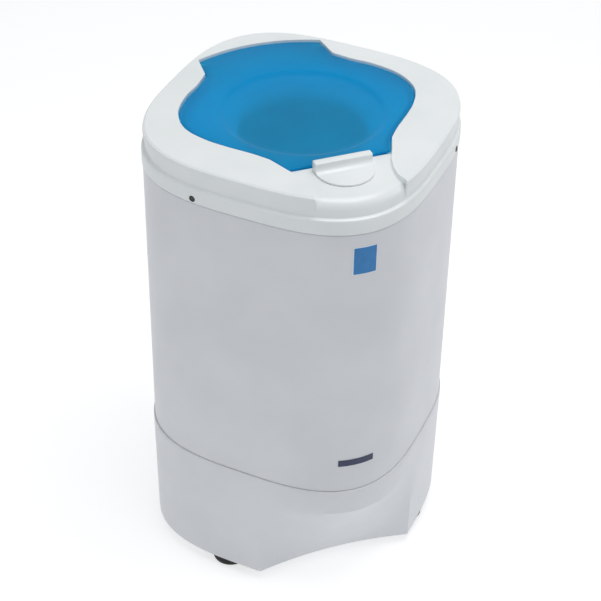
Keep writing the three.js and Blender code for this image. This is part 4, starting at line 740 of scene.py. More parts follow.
def lid_outline():
    """The lid's outline, counter-clockwise from the right front ear."""
    right_side = [LID_FRONT, *spline(LID_SIDE, SPLINE_STEPS), LID_EAR]
    rise = LID_BACK_Y - LID_EAR[1]
    radius = (LID_EAR[0] ** 2 + rise ** 2) / (2 * rise)
    xs = [LID_EAR[0] * (1 - 2 * i / BACK_STEPS) for i in range(1, BACK_STEPS)]
    back_edge = [(x, LID_BACK_Y - radius + math.sqrt(radius ** 2 - x ** 2)) for x in xs]
    return [*right_side, *back_edge, *[(-x, y) for x, y in reversed(right_side)]]


LID_OUTLINE = lid_outline()
print("lid outline of", len(LID_OUTLINE), "points")

# %% [markdown]
# Moving an outline in or out by a distance gives the pocket, the rim and the rounded edge. Every row of
# a moulding needs its points at the same angles as the row below, so a moved outline is looked up by
# angle: a table of its corners, and a ray that is cut with the chord between two of them.

# %% Outlines moved and looked up
LID_GAP = 1.6
# a corner moves by no more than the distance over this
SHARPEST_CORNER = 0.35


def moved_in(outline, distance):
    """An outline moved in by a distance, corner by corner; out when negative."""
    moved = []
    count = len(outline)
    for i, (x, y) in enumerate(outline):
        before, here, after = Vector(outline[i - 1]), Vector((x, y)), Vector(outline[(i + 1) % count])
        first, second = (here - before).normalized(), (after - here).normalized()
        half = (first + second).normalized()
        normal = Vector((-half.y, half.x))
        reach = distance / max(SHARPEST_CORNER, normal.dot(Vector((-first.y, first.x))))
        moved.append((x + normal.x * reach, y + normal.y * reach))
    return moved


def from_front(x, y):
    """Angle round the axis from the front, 0 to 360 counter-clockwise."""
    return math.degrees(math.atan2(y, x) + math.pi / 2) % 360


def reach_table(outline):
    """The outline as sorted angles from the front and radii, for looking up a radius at an angle."""
    table = sorted((from_front(x, y), math.hypot(x, y)) for x, y in outline)
    angles = [table[-1][0] - 360, *[a for a, _ in table], table[0][0] + 360]
    radii = [table[-1][1], *[r for _, r in table], table[0][1]]
    return angles, radii


def at_angle(table, angle):
    """The outline's point at an angle from the front, along straight chords between its points."""
    angles, radii = table
    k = int(np.searchsorted(angles, angle)) - 1
    k = min(max(k, 0), len(angles) - 2)
    ends = []
    for m in (k, k + 1):
        a = math.radians(angles[m] - 90)
        ends.append(Vector((radii[m] * math.cos(a), radii[m] * math.sin(a))))
    ray = Vector((math.cos(math.radians(angle - 90)), math.sin(math.radians(angle - 90))))
    chord = ends[1] - ends[0]
    cross = ray.x * chord.y - ray.y * chord.x
    if abs(cross) < 1e-9:
        return ends[0]
    return ray * ((ends[0].x * chord.y - ends[0].y * chord.x) / cross)


POCKET = moved_in(LID_OUTLINE, -LID_GAP)
print("pocket", LID_GAP, "mm wider than the lid all round")

# %% [markdown]
# ### The top cover
# One moulding makes the band that grips the cabinet, the ledge above it, the broad ring round the lid
# and the valley at the front where the latch sits. Each column starts at the throat under the lid, goes
# up the pocket's wall, out over the ring, down the outside, under the band and back inside. In the valley
# the same rows run lower and roll down to the front, so the two kinds of column share one grid and the
# valley's steep sides come by themselves where they meet. Behind the lid's ears the ring is narrow, and
# its rows crowd into the room there is. The pocket's floor drops to a well there, for the lid's rear
# edge to swing down into.

# %% Measures and rows of the cover
RING_Z = cover_high.z
POCKET_FLOOR_Z = 617.0
WELL_FLOOR_Z = 598.5
WELL_FRONT_Y = 147.0
WALL_UNDER = 3.0
LIP_REACH = 11.0
VALLEY_HALF_WIDTH = 57.0
VALLEY_DRAFT = 1.2
VALLEY_FRONT_X = 67.6
VALLEY_Z = 627.5
VALLEY_BULGE = 4.0
# rows as (inset from the outline, height): ring and valley, from the ring's middle outwards and down,
# then the band; RING_ROOM is the most that a ring row may take of a narrow ring's width
RING_OUT = [(20, 633), (14, 633), (9.5, 633), (5.8, 632.9), (3.2, 631.2), (2.4, 628)]
RING_ROOM = [0.75, 0.65, 0.55, 1.0, 1.0, 1.0]
VALLEY_OUT = [(20, 627.3), (14, 626.2), (9.5, 623.5), (7, 620), (5.8, 616), (5.2, 612.5)]
BAND_ROWS = [(4.8, 609), (4.4, 606.6), (3, 605.4), (1, 604.6), (0.2, 602.6), (0, 600.5), (0, 586),
             (0.6, 585.1), (2.7, 585.1), (2.7, 600.6), (7.4, 602), (7.8, 609)]
RING_UNDER = [(5.6, 626), (8.6, 630)]
VALLEY_UNDER = [(8.4, 614), (12, 622)]
print("valley", round(RING_Z - VALLEY_Z, 1), "mm below the ring")

# %% [markdown]
# The plan's outline has its own parameter, and the pocket is looked up by angle, so both have to be
# brought together. Halving an interval again and again finds the parameter at an angle, and the angle
# at which the valley ends. There the columns of the ring begin at the pocket's front corner, and over
# the next sixty degrees they settle into pointing straight outwards.

# %% Angles round the cover
EDGE_INSET = 4
HALVINGS = 40
SETTLE_ANGLE = 60.0


def outline_place(turn, inset):
    """A point of the outline, without its normal."""
    return plan_point(turn, inset)[0]


def turn_at_angle(angle):
    """The outline's parameter at an angle from the front, by bisection."""
    low, high = FRONT_TURN, FRONT_TURN + 360
    for _ in range(HALVINGS):
        middle = (low + high) / 2
        place = outline_place(middle, EDGE_INSET)
        here = from_front(place.x, place.y)
        if middle > FRONT_TURN + 359 and here < 1:
            here += 360
        low, high = (middle, high) if here < angle else (low, middle)
    return (low + high) / 2


def pocket_angle(angle):
    """The pocket's angle that an outline's angle is joined to: the same, except near the valley."""
    side = min(angle, 360 - angle)
    ease = min(max((side - BORDER_ANGLE) / SETTLE_ANGLE, 0.0), 1.0)
    ease = ease * ease * (3 - 2 * ease)
    joined = side + (FRONT_EAR_ANGLE - BORDER_ANGLE) * (1 - ease)
    return joined if angle < 180 else 360 - joined


def border_angle():
    """Angle from the front at which the outline is as wide as the valley."""
    low, high = 0.0, 45.0
    for _ in range(HALVINGS):
        middle = (low + high) / 2
        wide = outline_place(turn_at_angle(middle), EDGE_INSET).x > VALLEY_HALF_WIDTH
        low, high = (low, middle) if wide else (middle, high)
    return (low + high) / 2


BORDER_ANGLE = border_angle()
FRONT_EAR_ANGLE = from_front(*POCKET[0])
REAR_EAR_ANGLE = from_front(*POCKET[(len(LID_SIDE) - 1) * SPLINE_STEPS + 2])
print("valley ends", round(BORDER_ANGLE, 1), "degrees from the front")

# %% [markdown]
# Both kinds of column have the same number of points. Two of them divide the top between pocket and
# shoulder, and near the valley they bulge a little, as the valley's sides do.

# %% Columns of ring and valley
TOP_SHARES = (0.33, 0.66)
BULGE_ANGLE = 14.0
pocket_table = reach_table(POCKET)


def ring_column(angle, well):
    """One column of the cover's ring, from the throat round to the throat, or to the well behind."""
    turn = turn_at_angle(angle)
    start = at_angle(pocket_table, pocket_angle(angle))
    inward = -start.normalized()
    throat = start + inward * LIP_REACH
    floor_z = POCKET_FLOOR_Z
    if well:
        throat, floor_z = Vector((start.x, WELL_FRONT_Y)), WELL_FLOOR_Z
    column = [(*throat, floor_z - WALL_UNDER), (*throat, floor_z), (*start, floor_z), (*start, RING_Z)]
    room = (outline_place(turn, 0) - start).length
    ring_out = [(min(inset, room * share), z) for (inset, z), share in zip(RING_OUT, RING_ROOM)]
    shoulder = outline_place(turn, ring_out[0][0])
    side = min(angle, 360 - angle) - BORDER_ANGLE
    bulge = VALLEY_BULGE * max(0.0, 1 - side / BULGE_ANGLE) * (-1 if angle < 180 else 1)
    for share in TOP_SHARES:
        place = start.lerp(shoulder, share)
        column.append((place.x + bulge * math.sin(math.pi * share), place.y, RING_Z))
    column += [(*outline_place(turn, inset), z) for inset, z in ring_out + BAND_ROWS + RING_UNDER]
    outside = start - inward * WALL_UNDER
    column += [(*outside, RING_Z - WALL_UNDER), (*outside, floor_z - WALL_UNDER)]
    return column


def valley_column(share):
    """One column of the valley; share goes from -1 at its left side to 1 at its right."""
    turn = turn_at_angle(BORDER_ANGLE * abs(share))
    outer = [(outline_place(turn, inset), z) for inset, z in VALLEY_OUT + BAND_ROWS + VALLEY_UNDER]
    start = Vector(((VALLEY_FRONT_X - VALLEY_DRAFT) * abs(share), POCKET[0][1]))
    shoulder = outer[0][0]
    to_middle = -Vector((VALLEY_FRONT_X, POCKET[0][1])).normalized()
    throat = Vector((start.x + to_middle.x * LIP_REACH * abs(share), start.y + to_middle.y * LIP_REACH))
    column = [(*throat, POCKET_FLOOR_Z - WALL_UNDER), (*throat, POCKET_FLOOR_Z),
              (*start, POCKET_FLOOR_Z), (*start, VALLEY_Z)]
    bulge = VALLEY_BULGE * abs(share) ** 4
    for part in TOP_SHARES:
        place = start.lerp(shoulder, part)
        column.append((place.x - bulge * math.sin(math.pi * part), place.y, VALLEY_Z))
    column += [(*place, z) for place, z in outer]
    column += [(start.x, start.y - WALL_UNDER, VALLEY_Z - WALL_UNDER),
               (start.x, start.y - WALL_UNDER, POCKET_FLOOR_Z - WALL_UNDER)]
    return column if share >= 0 else [(-x, y, z) for x, y, z in column]


print("ring columns have", len(ring_column(90, False)), "points, valley columns", len(valley_column(0)))

# %% [markdown]
# The columns stand side by side round the cover. At each rear ear two of them stand almost in the same
# place, one with the pocket's floor and one with the well's, which makes the well's upright end wall.

# %% The cover
RING_COLUMNS = 260
VALLEY_COLUMNS = 29
EAR_ROOM = 0.5
EAR_STEP = 0.02


def ring_angles():
    """Angles of the ring's columns and whether each is behind the well; the rear ears have both kinds."""
    even = [BORDER_ANGLE + (360 - 2 * BORDER_ANGLE) * i / RING_COLUMNS for i in range(RING_COLUMNS + 1)]
    ears = (REAR_EAR_ANGLE, 360 - REAR_EAR_ANGLE)
    kept = [a for a in even if min(abs(a - ear) for ear in ears) > EAR_ROOM]
    found = [(a, ears[0] < a < ears[1]) for a in kept]
    found += [(ears[0] - EAR_STEP, False), (ears[0] + EAR_STEP, True),
              (ears[1] - EAR_STEP, True), (ears[1] + EAR_STEP, False)]
    return sorted(found)


cover_columns = [ring_column(angle, well) for angle, well in ring_angles()]
cover_columns += [valley_column(-1 + 2 * i / (VALLEY_COLUMNS - 1)) for i in range(VALLEY_COLUMNS)]
cover_rows = [list(row) for row in zip(*cover_columns)]
loft("cover_skin", cover_rows, cover_white, "housing", nodes=["top_cover"], slot="cover_plastic", sharp=30)
print("cover of", len(cover_columns), "columns and", len(cover_rows), "rows")

# %% [markdown]
# ### The lid
# A plate with a shallow round dish, where it comes down over the drum's mouth, a softly rounded edge
# and a rim turned down inside the pocket. Its two lugs hold it on the hinge pins. Rows are rings here:
# the first ones are round, and the later ones have the lid's own outline.

# %% The lid's plate
LID_TOP_Z = millimetres("lid")[1].z
LID_THICKNESS = 2.6
LID_UNDER = LID_TOP_Z - LID_THICKNESS
LID_RIM_Z = millimetres("lid")[0].z
# rings as (radius, drop), edge rows as (inset, drop), and rim rows, which go down to the rim without one
DISH_RINGS = [(30, 2.4), (60, 2.4), (90, 2.4), (97, 2.3), (100, 1.6), (102.5, 0.5), (106, 0)]
LID_EDGE = [(3.2, 0), (1.4, 0.25), (0.4, 0.9), (0, 1.7), (0, 2.6), (0.5, 3)]
RIM_ROWS = [(4, 2.9), (4, None), (6.5, None), (6.5, 2.9)]
LID_COLUMNS = 240
CORNER_ROOM = 0.4


def lid_angles():
    """Even angles, with those nearest to the lid's four corners set on the corners."""
    places = (LID_OUTLINE[0], LID_EAR, (-LID_EAR[0], LID_EAR[1]), LID_OUTLINE[-1])
    corners = [from_front(x, y) for x, y in places]
    even = [360 * i / LID_COLUMNS for i in range(LID_COLUMNS)]
    return sorted([a for a in even if min(abs(a - c) for c in corners) > CORNER_ROOM] + corners)


def lid_row(angles, inset, z):
    """A row that follows the lid's outline."""
    table = reach_table(moved_in(LID_OUTLINE, inset) if inset else LID_OUTLINE)
    return [(*at_angle(table, angle), z) for angle in angles]


def dish_row(angles, radius, z):
    """A round row with a point at each of the angles."""
    return [(radius * math.sin(math.radians(a)), -radius * math.cos(math.radians(a)), z) for a in angles]


angles = lid_angles()
lid_rows = [dish_row(angles, radius, LID_TOP_Z - drop) for radius, drop in DISH_RINGS]
lid_rows += [lid_row(angles, inset, LID_TOP_Z - drop) for inset, drop in LID_EDGE]
lid_rows += [lid_row(angles, inset, LID_RIM_Z if drop is None else LID_TOP_Z - drop)
             for inset, drop in RIM_ROWS]
lid_rows += [dish_row(angles, radius - 1, LID_UNDER - drop) for radius, drop in reversed(DISH_RINGS)]
loft("lid_skin", lid_rows, lid_blue, "lid_body", close=False, nodes=["lid"], slot="lid_plastic", sharp=32)
print("lid of", len(angles), "columns and", len(lid_rows), "rows")

# %% [markdown]
# A lug is a bar with half a round below, where the pin goes in, and its flat top under the plate.

# %% The lid's lugs
pin_low, pin_high = millimetres("hinge_pin_right")
hinge_y, hinge_z = (pin_low.y + pin_high.y) / 2, (pin_low.z + pin_high.z) / 2
LUG_X = (66.0, 73.0)
LUG_RADIUS = 4.0
LUG_STEPS = 12
arc = [math.radians(180 + 180 * i / LUG_STEPS) for i in range(LUG_STEPS + 1)]
lug_side = [(hinge_y + LUG_RADIUS * math.cos(a), hinge_z + LUG_RADIUS * math.sin(a)) for a in arc]
lug_side += [(hinge_y + LUG_RADIUS, LID_UNDER), (hinge_y - LUG_RADIUS, LID_UNDER)]
for side, sign in (("right", 1), ("left", -1)):
    x_from, x_to = sorted((sign * LUG_X[0], sign * LUG_X[1]))
    crosswise(f"lid_lug_{side}", lug_side[::-1], x_from, x_to, lid_blue, "lid_body",
              slot="lid_plastic", edge=0.4)
print("two lugs, round to", LUG_RADIUS, "mm about the pins")

# %% [markdown]
# ### The latch
# A thumb rib stands across the valley, hollowed at the front for the finger, on a half-moon pad that
# slides over the valley's floor. Under the pad hang the stem with its bolt, which holds the lid's rim,
# and the lug that works the lid switch. All four are one moulding on the real machine and ride together.

# %% The latch's rib and pad
latch_low, latch_high = millimetres("latch")
RIB_HALF_WIDTH = latch_high.x
RIB_REAR_Y = -126.0
PAD_REAR_Y = -138.0
PAD_FRONT_Y = latch_low.y
PAD_LOW_Z = VALLEY_Z + CLEARANCE
PAD_TOP_Z = PAD_LOW_Z + 2.5
RIB_Z = latch_high.z
rib_side = [(RIB_REAR_Y, PAD_LOW_Z), (RIB_REAR_Y, RIB_Z - 2), (RIB_REAR_Y - 0.6, RIB_Z - 0.6),
            (RIB_REAR_Y - 2, RIB_Z), (-134.5, RIB_Z), (-136.3, RIB_Z - 0.5), (-137, RIB_Z - 1.8),
            (-136.4, RIB_Z - 4.5), (-136.6, RIB_Z - 7), (-137.8, RIB_Z - 9.4), (-140.2, PAD_TOP_Z + 0.5),
            (-144, PAD_TOP_Z), (-144, PAD_LOW_Z)]
crosswise("latch_rib", rib_side, -RIB_HALF_WIDTH, RIB_HALF_WIDTH, cover_white, "latch_body",
          nodes=["latch"], slot="cover_plastic", edge=0.8, sharp=40)
MOON_STEPS = 40
moon = []
for i in range(MOON_STEPS + 1):
    a = math.pi * i / MOON_STEPS
    moon.append((-RIB_HALF_WIDTH * math.cos(a), PAD_REAR_Y + (PAD_FRONT_Y - PAD_REAR_Y) * math.sin(a)))
slab("latch_pad", moon, PAD_LOW_Z, PAD_TOP_Z, cover_white, "latch_body", slot="cover_plastic", edge=0.9,
     sharp=40)
print("latch", round(2 * RIB_HALF_WIDTH), "mm wide")

# %% [markdown]
# The stem goes down from the pad, with the bolt to its rear and the lug to its right. They are plain
# bars with slightly rounded edges.

# %% The latch's bolt and lug
BOLT_LOW_Z = latch_low.z
BOLT_TOP_Z = latch_low.z + 4.5
BOLT_HALF_WIDTH = 7.0
STEM_FRONT_Y = -154.0
STEM_REAR_Y = -142.0
LUG_RIGHT_X = 20.0
bolt_side = [(STEM_FRONT_Y, PAD_LOW_Z), (STEM_FRONT_Y, BOLT_LOW_Z), (latch_high.y, BOLT_LOW_Z),
             (latch_high.y, BOLT_TOP_Z), (STEM_REAR_Y, BOLT_TOP_Z), (STEM_REAR_Y, PAD_LOW_Z)]
crosswise("latch_bolt", bolt_side[::-1], -BOLT_HALF_WIDTH, BOLT_HALF_WIDTH, cover_white, "latch_body",
          slot="cover_plastic", edge=0.5)
latch_lug_side = [(STEM_FRONT_Y - 4, BOLT_TOP_Z), (STEM_FRONT_Y + 1, BOLT_TOP_Z),
                  (STEM_FRONT_Y + 1, BOLT_LOW_Z), (STEM_FRONT_Y - 4, BOLT_LOW_Z)]
crosswise("latch_lug", latch_lug_side, BOLT_HALF_WIDTH - 1, LUG_RIGHT_X, cover_white, "latch_body",
          slot="cover_plastic", edge=0.4)
print("bolt", 2 * BOLT_HALF_WIDTH, "mm wide")

# %% [markdown]
# ### Collar and drum
# Through the lid one sees the white collar, a funnel that leads laundry into the drum, and below it the
# dark of the drum. The collar's rows begin as rings at the mouth and end at the lid's outline.

# %% Collar
COLLAR_TOP_Z = millimetres("splash_collar")[1].z
MOUTH_LOW_Z = 599.0
MOUTH_RADIUS = 80.0
FUNNEL_RADIUS = 106.0
COLLAR_WALL = 2.5
COLLAR_INSET = 6.0
COLLAR_BACK_Y = 142.0
collar_table = reach_table([(x, min(y, COLLAR_BACK_Y)) for x, y in moved_in(LID_OUTLINE, COLLAR_INSET)])
collar_angles = [360 * i / LID_COLUMNS for i in range(LID_COLUMNS)]


def collar_edge(z):
    """The collar's outer edge, a little inside the lid's outline and straight at the back."""
    return [(*at_angle(collar_table, angle), z) for angle in collar_angles]


collar_profile = [(MOUTH_RADIUS + COLLAR_WALL, MOUTH_LOW_Z), (MOUTH_RADIUS, MOUTH_LOW_Z),
                  (MOUTH_RADIUS + 1, MOUTH_LOW_Z + 3), (88, 606.6), (97, 610.6),
                  (FUNNEL_RADIUS, 612.9), (FUNNEL_RADIUS + 3, COLLAR_TOP_Z)]
collar_rows = [dish_row(collar_angles, radius, z) for radius, z in collar_profile]
collar_rows += [collar_edge(COLLAR_TOP_Z), collar_edge(COLLAR_TOP_Z - COLLAR_WALL),
                dish_row(collar_angles, FUNNEL_RADIUS + 2, COLLAR_TOP_Z - COLLAR_WALL)]
loft("collar_skin", collar_rows, collar_white, "housing", nodes=["splash_collar", "mouth_funnel"],
     slot="cover_plastic", sharp=30)
print("collar with a mouth of", round(2 * MOUTH_RADIUS), "mm")

# %% [markdown]
# The drum's wall is punched with rows of small holes through which the water leaves. Each hole sits in a
# tile of the wall, and the tiles join into one sheet with an inner and an outer face. A boolean would
# cut the holes too, but it takes longer and leaves long thin faces, which a smooth wall shows as streaks.

# %% The drum's wall
drum_low, drum_high = millimetres("drum")
DRUM_RADIUS = millimetres("drum_shoulder")[1].x
DRUM_SHEET = 1.5
TILES_ROUND = 30
TILES_HIGH = 11
HOLE_RADIUS = 2.6
HOLE_POINTS = 12
PLAIN_HEIGHT = 16.0
# a plain band has a column at each corner and third of a tile, also of a tile moved by half a width
BAND_STEPS = 6


def drum_wall():
    """A punched sheet bent into a drum: tiles with a round hole each, between two plain bands."""
    step = 2 * math.pi / TILES_ROUND
    low, high = drum_low.z + PLAIN_HEIGHT, drum_high.z - PLAIN_HEIGHT
    tile_height = (high - low) / TILES_HIGH
    half_width = DRUM_RADIUS * step / 2
    corners = [(half_width * a, tile_height / 2 * b) for a, b in ((1, 1), (-1, 1), (-1, -1), (1, -1))]
    square = []
    for here, after in zip(corners, corners[1:] + corners[:1]):
        for share in (0, 1 / 3, 2 / 3):
            square.append((here[0] + (after[0] - here[0]) * share, here[1] + (after[1] - here[1]) * share))
    hole_turns = [math.pi / 4 + 2 * math.pi * i / HOLE_POINTS for i in range(HOLE_POINTS)]
    hole = [(HOLE_RADIUS * math.cos(a), HOLE_RADIUS * math.sin(a)) for a in hole_turns]
    points, faces = [], []
    for row in range(TILES_HIGH):
        for column in range(TILES_ROUND):
            centre = step * (column + 0.5 * (row % 2))
            z = low + tile_height * (row + 0.5)
            first = len(points)
            for radius in (DRUM_RADIUS, DRUM_RADIUS - DRUM_SHEET):
                for u, w in square + hole:
                    a = centre + u / DRUM_RADIUS
                    points.append((radius * math.cos(a), radius * math.sin(a), z + w))
            outer, outer_hole, inner, inner_hole = (first + k * HOLE_POINTS for k in range(4))
            for i in range(HOLE_POINTS):
                n = (i + 1) % HOLE_POINTS
                faces.append((outer + i, outer + n, outer_hole + n, outer_hole + i))
                faces.append((inner + n, inner + i, inner_hole + i, inner_hole + n))
                faces.append((outer_hole + i, outer_hole + n, inner_hole + n, inner_hole + i))
    columns = BAND_STEPS * TILES_ROUND
    for z_low, z_high in ((drum_low.z, low), (high, drum_high.z)):
        first = len(points)
        rows = [(DRUM_RADIUS, z_low), (DRUM_RADIUS, z_high), (DRUM_RADIUS - DRUM_SHEET, z_high),
                (DRUM_RADIUS - DRUM_SHEET, z_low)]
        for radius, z in rows:
            points += circle_row(radius, z, columns)
        faces += grid_faces(len(rows), columns, True, first)
    return points, faces


points, faces = drum_wall()
piece("drum_wall", points, faces, drum_metal, "drum_unit", nodes=["drum"], slot="aluminium", sharp=40)
print("drum with", TILES_ROUND * TILES_HIGH, "holes")

# %% [markdown]
# What turns with the wall is turned in the model too: each profile below is half of a section, as
# (radius, height) points, and goes once round the axis.

# %% Shoulder, floor, mouth ring and hub cap
DRUM_SIDES = 96
BORE_RADIUS = 7.3
SHOULDER_MOUTH = 86.0
# as (distance in from the drum's radius, distance down from the shoulder's top)
SHOULDER_OUTSIDE = [(1, 15), (4, 10.5), (9, 6.4), (18, 3), (30, 1.2)]
SHOULDER_INSIDE = [(30, 2.7), (18.5, 4.5), (10, 7.8), (5.4, 11.6), (2.5, 15.6)]
shoulder_low, shoulder_high = millimetres("drum_shoulder")
top = shoulder_high.z
shoulder_profile = [(DRUM_RADIUS - DRUM_SHEET, shoulder_low.z), (DRUM_RADIUS, shoulder_low.z)]
shoulder_profile += [(DRUM_RADIUS - inset, top - drop) for inset, drop in SHOULDER_OUTSIDE]
shoulder_profile += [(SHOULDER_MOUTH, top), (SHOULDER_MOUTH, top - DRUM_SHEET)]
shoulder_profile += [(DRUM_RADIUS - inset, top - drop) for inset, drop in SHOULDER_INSIDE]
lathe("drum_top", shoulder_profile, drum_metal, "drum_unit", sides=DRUM_SIDES, nodes=["drum_shoulder"],
      slot="aluminium")

floor_low, floor_high = millimetres("drum_base")
BASE_BEADS = [(52, 0), (56, 1.2), (60, 0), (84, 0), (88, 1.2), (92, 0)]
base_profile = [(BORE_RADIUS, floor_low.z), (floor_high.x, floor_low.z), (floor_high.x, floor_high.z)]
base_profile += [(radius, floor_high.z + rise) for radius, rise in reversed(BASE_BEADS)]
base_profile += [(BORE_RADIUS, floor_high.z)]
lathe("drum_floor", base_profile, drum_metal, "drum_unit", sides=DRUM_SIDES, nodes=["drum_base"],
      slot="aluminium", sharp=20)

rim_high = millimetres("drum_rim")[1]
rim_inner = rim_high.x - 7.7
lathe("drum_mouth_ring", [(rim_inner, rim_high.z - 8.4), (rim_inner + 2.7, rim_high.z - 8.4),
                          (rim_inner + 2.7, rim_high.z - 3.4), (rim_high.x, rim_high.z - 3.4),
                          (rim_high.x, rim_high.z - 2), (rim_high.x - 1.5, rim_high.z - 0.7),
                          (rim_high.x - 4, rim_high.z), (rim_inner + 1.4, rim_high.z - 0.6),
                          (rim_inner, rim_high.z - 2)],
      grey_plastic, "drum_unit", sides=DRUM_SIDES, nodes=["drum_rim"], slot="grey_plastic", sharp=35)

CAP_WALL = 2.4
CAP_THICKNESS = 2.2
cap_low, cap_high = millimetres("hub_cap")
cap_outer = [(42, 0), (42, 4), (38.5, 10), (33.5, 16.8), (27, 23.6), (20, 29.6), (13, 33.8), (6, 35.7),
             (0, cap_high.z - cap_low.z)]
cap_profile = [(radius, cap_low.z + z) for radius, z in cap_outer]
cap_profile += [(max(radius - CAP_WALL, 0), cap_low.z + max(z - CAP_THICKNESS, 0))
                for radius, z in reversed(cap_outer)]
lathe("hub_cap_dome", cap_profile, grey_plastic, "drum_unit", sides=64, close=False, nodes=["hub_cap"],
      slot="grey_plastic", sharp=35)
print("shoulder, floor, mouth ring and a hub cap of", round(cap_high.x * 2), "mm")

# %% [markdown]
# ### Small outside pieces
# Four feet, four screws, the drain spout, the cord gland and two plain labels. A foot is a moulded
# rubber button with a barbed stem, which is pushed through the base plate and holds by itself.

# %% Feet
FOOT_STEM_Z = millimetres("foot_front_left")[1].z
STEM_RADIUS = 5
BARB_RADIUS = 7
BARB_HEIGHT = 6.7
seat_z = millimetres("base_plate")[0].z - CLEARANCE
for end in ("front", "rear"):
    for side in ("right", "left"):
        node = f"foot_{end}_{side}"
        low, high = millimetres(node)
        place = Matrix.Translation(((low.x + high.x) / 2, (low.y + high.y) / 2, 0))
        radius = (high.x - low.x) / 2
        pad = [(0, 0.6), (radius - 6, 0.6), (radius - 5.4, 0), (radius - 2, 0), (radius - 0.6, 0.7),
               (radius, 2.2), (radius, 6), (radius - 0.8, 6.6), (radius - 0.8, 7.6), (radius, 8.2),
               (radius, 13), (radius - 0.9, 15.5), (radius - 2.8, seat_z)]
        stem = [(STEM_RADIUS, seat_z), (STEM_RADIUS, FOOT_STEM_Z - BARB_HEIGHT),
                (BARB_RADIUS, FOOT_STEM_Z - BARB_HEIGHT), (STEM_RADIUS, FOOT_STEM_Z), (0, FOOT_STEM_Z)]
        lathe(f"{node}_pad", pad + stem, rubber, "housing", sides=40, place=place, close=False,
              nodes=[node], slot="rubber", sharp=45)
print("four feet, the last one", round(2 * radius), "mm across")

# %% [markdown]
# The screws that hold the cover have a cross recess. It is a ring of points that steps in and out four
# times, in rows that lead down into the head.

# %% Screws
CROSS_POINTS = 48


def cross_row(radius, arm, z):
    """A ring that is a circle when arm is 0, or a plus sign whose arms are that wide."""
    row = []
    for i in range(CROSS_POINTS):
        a = 2 * math.pi * i / CROSS_POINTS
        c, s = math.cos(a), math.sin(a)
        reach = radius if arm == 0 else min(radius, arm / 2 / max(min(abs(c), abs(s)), 1e-3))
        row.append((reach * c, reach * s, z))
    return row


SCREW_RISE = 590.8
SCREW_TURN = -78.4
SCREW_LENGTH = 12.0
SCREW_PROUD = 0.9
HEAD_HEIGHT = 1.2
# rings as (radius, arm of the cross, height), from the tip to the bottom of the recess
SCREW_RINGS = [(0.05, 0, -SCREW_LENGTH), (1.5, 0, -SCREW_LENGTH + 2), (1.5, 0, -HEAD_HEIGHT),
               (4.1, 0, -HEAD_HEIGHT), (4.1, 0, -0.7), (3.7, 0, -0.25), (2.9, 0, 0), (2.3, 1.0, 0),
               (1.9, 0.8, -0.85), (0.3, 0, -0.95)]
place_2d, normal_2d = plan_point(SCREW_TURN)
for end, sign_y in (("front", 1), ("rear", -1)):
    for side, sign_x in (("right", 1), ("left", -1)):
        outward = Vector((sign_x * normal_2d.x, sign_y * normal_2d.y, 0))
        spot = Vector((sign_x * place_2d.x, sign_y * place_2d.y, SCREW_RISE)) + outward * SCREW_PROUD
        rows = placed([cross_row(*ring) for ring in SCREW_RINGS], facing(spot, outward))
        loft(f"screw_{end}_{side}", rows, black_steel, "housing", close=False,
             nodes=[f"cover_screw_{end}_{side}"], slot="dark_steel", sharp=35)
print("four screws", SCREW_RISE, "mm above the floor")

# %% [markdown]
# Spout and gland are turned pieces that come out of the two faces at the back. The spout's rings grip a
# hose, and the gland's grooved sleeve bends with a cord and keeps it from kinking.

# %% Spout and gland
def rear_face(sign):
    """The place on a rear face where the spout or the gland comes out."""
    spot, normal = plan_point(0, base_inset(PORT_Z))
    return facing(Vector((sign * spot.x, spot.y, PORT_Z)), Vector((sign * normal.x, normal.y, 0)))


PORT_Z = 110.0
SPOUT_OUT = 24.0
SPOUT_BORE = 7.8
CORD_RADIUS = 3.7
spout_profile = [(SPOUT_BORE, -22), (10, -22), (10, -5.8), (14, -5.8), (14, -3.3), (10, -3.3),
                 (10, 0.2), (12.6, 0.2), (12.6, 1.6), (10, 2.2)]
for start in (8, 13, 18):
    spout_profile += [(9.1, start - 2.5), (9.1, start - 0.2), (10, start), (9.2, start + 2)]
spout_profile += [(9.0, SPOUT_OUT - 0.6), (8.6, SPOUT_OUT), (SPOUT_BORE, SPOUT_OUT)]
lathe("drain_nozzle", spout_profile, grey_plastic, "housing", sides=48, place=rear_face(1),
      nodes=["drain_spout"], slot="grey_plastic", sharp=30)
gland_profile = [(CORD_RADIUS, -16), (7.9, -16), (7.9, -7.3), (11.9, -7.3), (11.9, -3.3), (7.9, -3.3),
                 (7.9, 0.3), (12.8, 0.3), (13, 0.8), (12.6, 3.2), (11, 4), (7.4, 4.2)]
for start in (5.6, 8, 10.4):
    gland_profile += [(7.1, start), (5.6, start + 0.3), (5.6, start + 1.3), (6.9, start + 1.6)]
gland_profile += [(6.4, 13), (CORD_RADIUS, 13)]
lathe("cord_sleeve", gland_profile, rubber, "housing", sides=40, place=rear_face(-1), nodes=["cord_gland"],
      slot="rubber", sharp=30)
print("spout and gland at", PORT_Z, "mm")

# %% [markdown]
# The labels are thin film on the front corner. Each has to bend round it, so it is a strip of the
# outline itself, moved out by the thickness of the film. They are plain: a bordered blue one and a navy
# one.

# %% Labels
FILM_COLUMNS = 17


